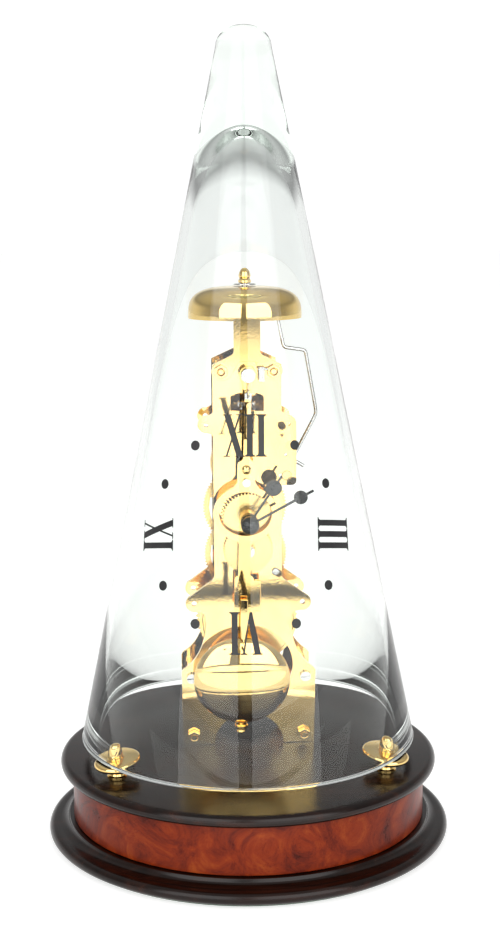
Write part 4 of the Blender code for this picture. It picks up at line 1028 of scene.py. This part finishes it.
def softbox(name, place, target, width, tall, radiance):
    """A glowing panel of the given radiance, facing a target point and hidden from the camera."""
    data = bpy.data.lights.new(name, "AREA")
    data.shape = "RECTANGLE"
    data.size = width * MM
    data.size_y = tall * MM
    data.energy = radiance * pi * data.size * data.size_y
    light = bpy.data.objects.new(name, data)
    bpy.context.scene.collection.objects.link(light)
    light.location = Vector(place) * MM
    light.rotation_euler = ((Vector(target) - Vector(place)) * MM).to_track_quat("-Z", "Y").to_euler()
    light.visible_camera = False
    return light


def around(azimuth, distance, height):
    """A point round the clock; azimuth runs from the front, positive to the right."""
    return (distance * sin(radians(azimuth)), -distance * cos(radians(azimuth)), height)


def spread_range(nodes, links, source, low, high):
    """The source's share of the way from low to high."""
    node = nodes.new("ShaderNodeMapRange")
    node.inputs["From Min"].default_value = low
    node.inputs["From Max"].default_value = high
    links.new(source, node.inputs["Value"])
    return node.outputs["Result"]


def make_world():
    """A white sweep low behind the clock, a dimmer room in front and above, and white for the camera."""
    world = bpy.data.worlds.new("studio")
    bpy.context.scene.world = world
    world.use_nodes = True
    nodes, links = world.node_tree.nodes, world.node_tree.links
    place = nodes.new("ShaderNodeTexCoord")
    parts = nodes.new("ShaderNodeSeparateXYZ")
    links.new(place.outputs["Generated"], parts.inputs["Vector"])
    behind = ramp(nodes, links, spread_range(nodes, links, parts.outputs["Y"], -1.0, 1.0),
                  [(0.0, (0.26, 0.26, 0.27)), (0.45, (0.42, 0.42, 0.43)), (0.72, (0.88, 0.88, 0.88)),
                   (1.0, (0.90, 0.90, 0.90))])
    low = ramp(nodes, links, spread_range(nodes, links, parts.outputs["Z"], -1.0, 1.0),
               [(0.0, (1, 1, 1)), (0.60, (1, 1, 1)), (0.68, (0, 0, 0)), (1.0, (0, 0, 0))])
    above = ramp(nodes, links, spread_range(nodes, links, parts.outputs["Z"], -1.0, 1.0),
                 [(0.0, (0.34, 0.34, 0.34)), (0.70, (0.34, 0.34, 0.34)), (0.85, (0.55, 0.55, 0.55)),
                  (1.0, (0.6, 0.6, 0.6))])
    mix = nodes.new("ShaderNodeMixRGB")
    links.new(low, mix.inputs["Fac"])
    links.new(above, mix.inputs["Color1"])
    links.new(behind, mix.inputs["Color2"])
    background = nodes["Background"]
    links.new(mix.outputs["Color"], background.inputs["Color"])
    background.inputs["Strength"].default_value = 1.0
    path = nodes.new("ShaderNodeLightPath")
    white = nodes.new("ShaderNodeBackground")
    white.inputs["Color"].default_value = (1, 1, 1, 1)
    white.inputs["Strength"].default_value = 1.05
    choose = nodes.new("ShaderNodeMixShader")
    links.new(path.outputs["Is Camera Ray"], choose.inputs["Fac"])
    links.new(background.outputs["Background"], choose.inputs[1])
    links.new(white.outputs["Background"], choose.inputs[2])
    links.new(choose.outputs["Shader"], nodes["World Output"].inputs["Surface"])


def make_studio():
    floor = stage_material("floor_look", (0.60, 0.60, 0.59), 0.55, 0.66)
    card = stage_material("card_look", (0.05, 0.05, 0.05), 0.8, 0.0)
    stage_plane("floor", (-6000, 6000), (-3000, 9000), -0.2, floor)
    shade = stage_plane("dark_card", (-260, 260), (-512, -427), 0.8, card)
    shade.visible_camera = False
    distance, height, tall = 2600, 1610, 3000
    for name, azimuth, width in (("window_left", -32, 2100), ("window_right", 25, 2425)):
        softbox(name, around(azimuth, distance, height), (0, 0, height), width, tall, 2.7)
    for name, y, width, depth, radiance in (
        ("floor_glow_near", -282, 900, 284, 0.80),
        ("floor_glow_far", -1360, 1400, 1690, 0.90),
    ):
        softbox(name, (0, y, 1), (0, y, 100), width, depth, radiance)
    make_world()


def make_camera():
    azimuth, pitch, roll = radians(CAMERA_AZIMUTH), radians(CAMERA_PITCH), radians(CAMERA_ROLL)
    ahead = Vector((sin(azimuth) * cos(pitch), cos(azimuth) * cos(pitch), -sin(pitch)))
    right = Vector((cos(azimuth), -sin(azimuth), 0))
    up = right.cross(ahead)
    rolled_right = cos(roll) * right + sin(roll) * up
    rolled_up = cos(roll) * up - sin(roll) * right
    data = bpy.data.cameras.new("camera")
    data.sensor_fit = "HORIZONTAL"
    data.sensor_width = 36
    data.lens = CAMERA_LENS
    data.shift_x = CAMERA_SHIFT
    data.clip_start = 0.01
    camera = bpy.data.objects.new("camera", data)
    bpy.context.scene.collection.objects.link(camera)
    camera.matrix_world = Matrix((
        (rolled_right.x, rolled_up.x, -ahead.x, -CAMERA_DISTANCE * sin(azimuth) * MM),
        (rolled_right.y, rolled_up.y, -ahead.y, -CAMERA_DISTANCE * cos(azimuth) * MM),
        (rolled_right.z, rolled_up.z, -ahead.z, CAMERA_HEIGHT * MM),
        (0, 0, 0, 1),
    ))
    bpy.context.scene.camera = camera


dress_frame()
make_base()
make_glass()
make_dial()
make_plates()
make_pillars()
make_bell()
make_hammer()
make_hands()
make_pendulum()
make_pendulum_parts()
make_suspension()
make_studio()
make_camera()
bpy.context.scene.view_settings.view_transform = "Standard"
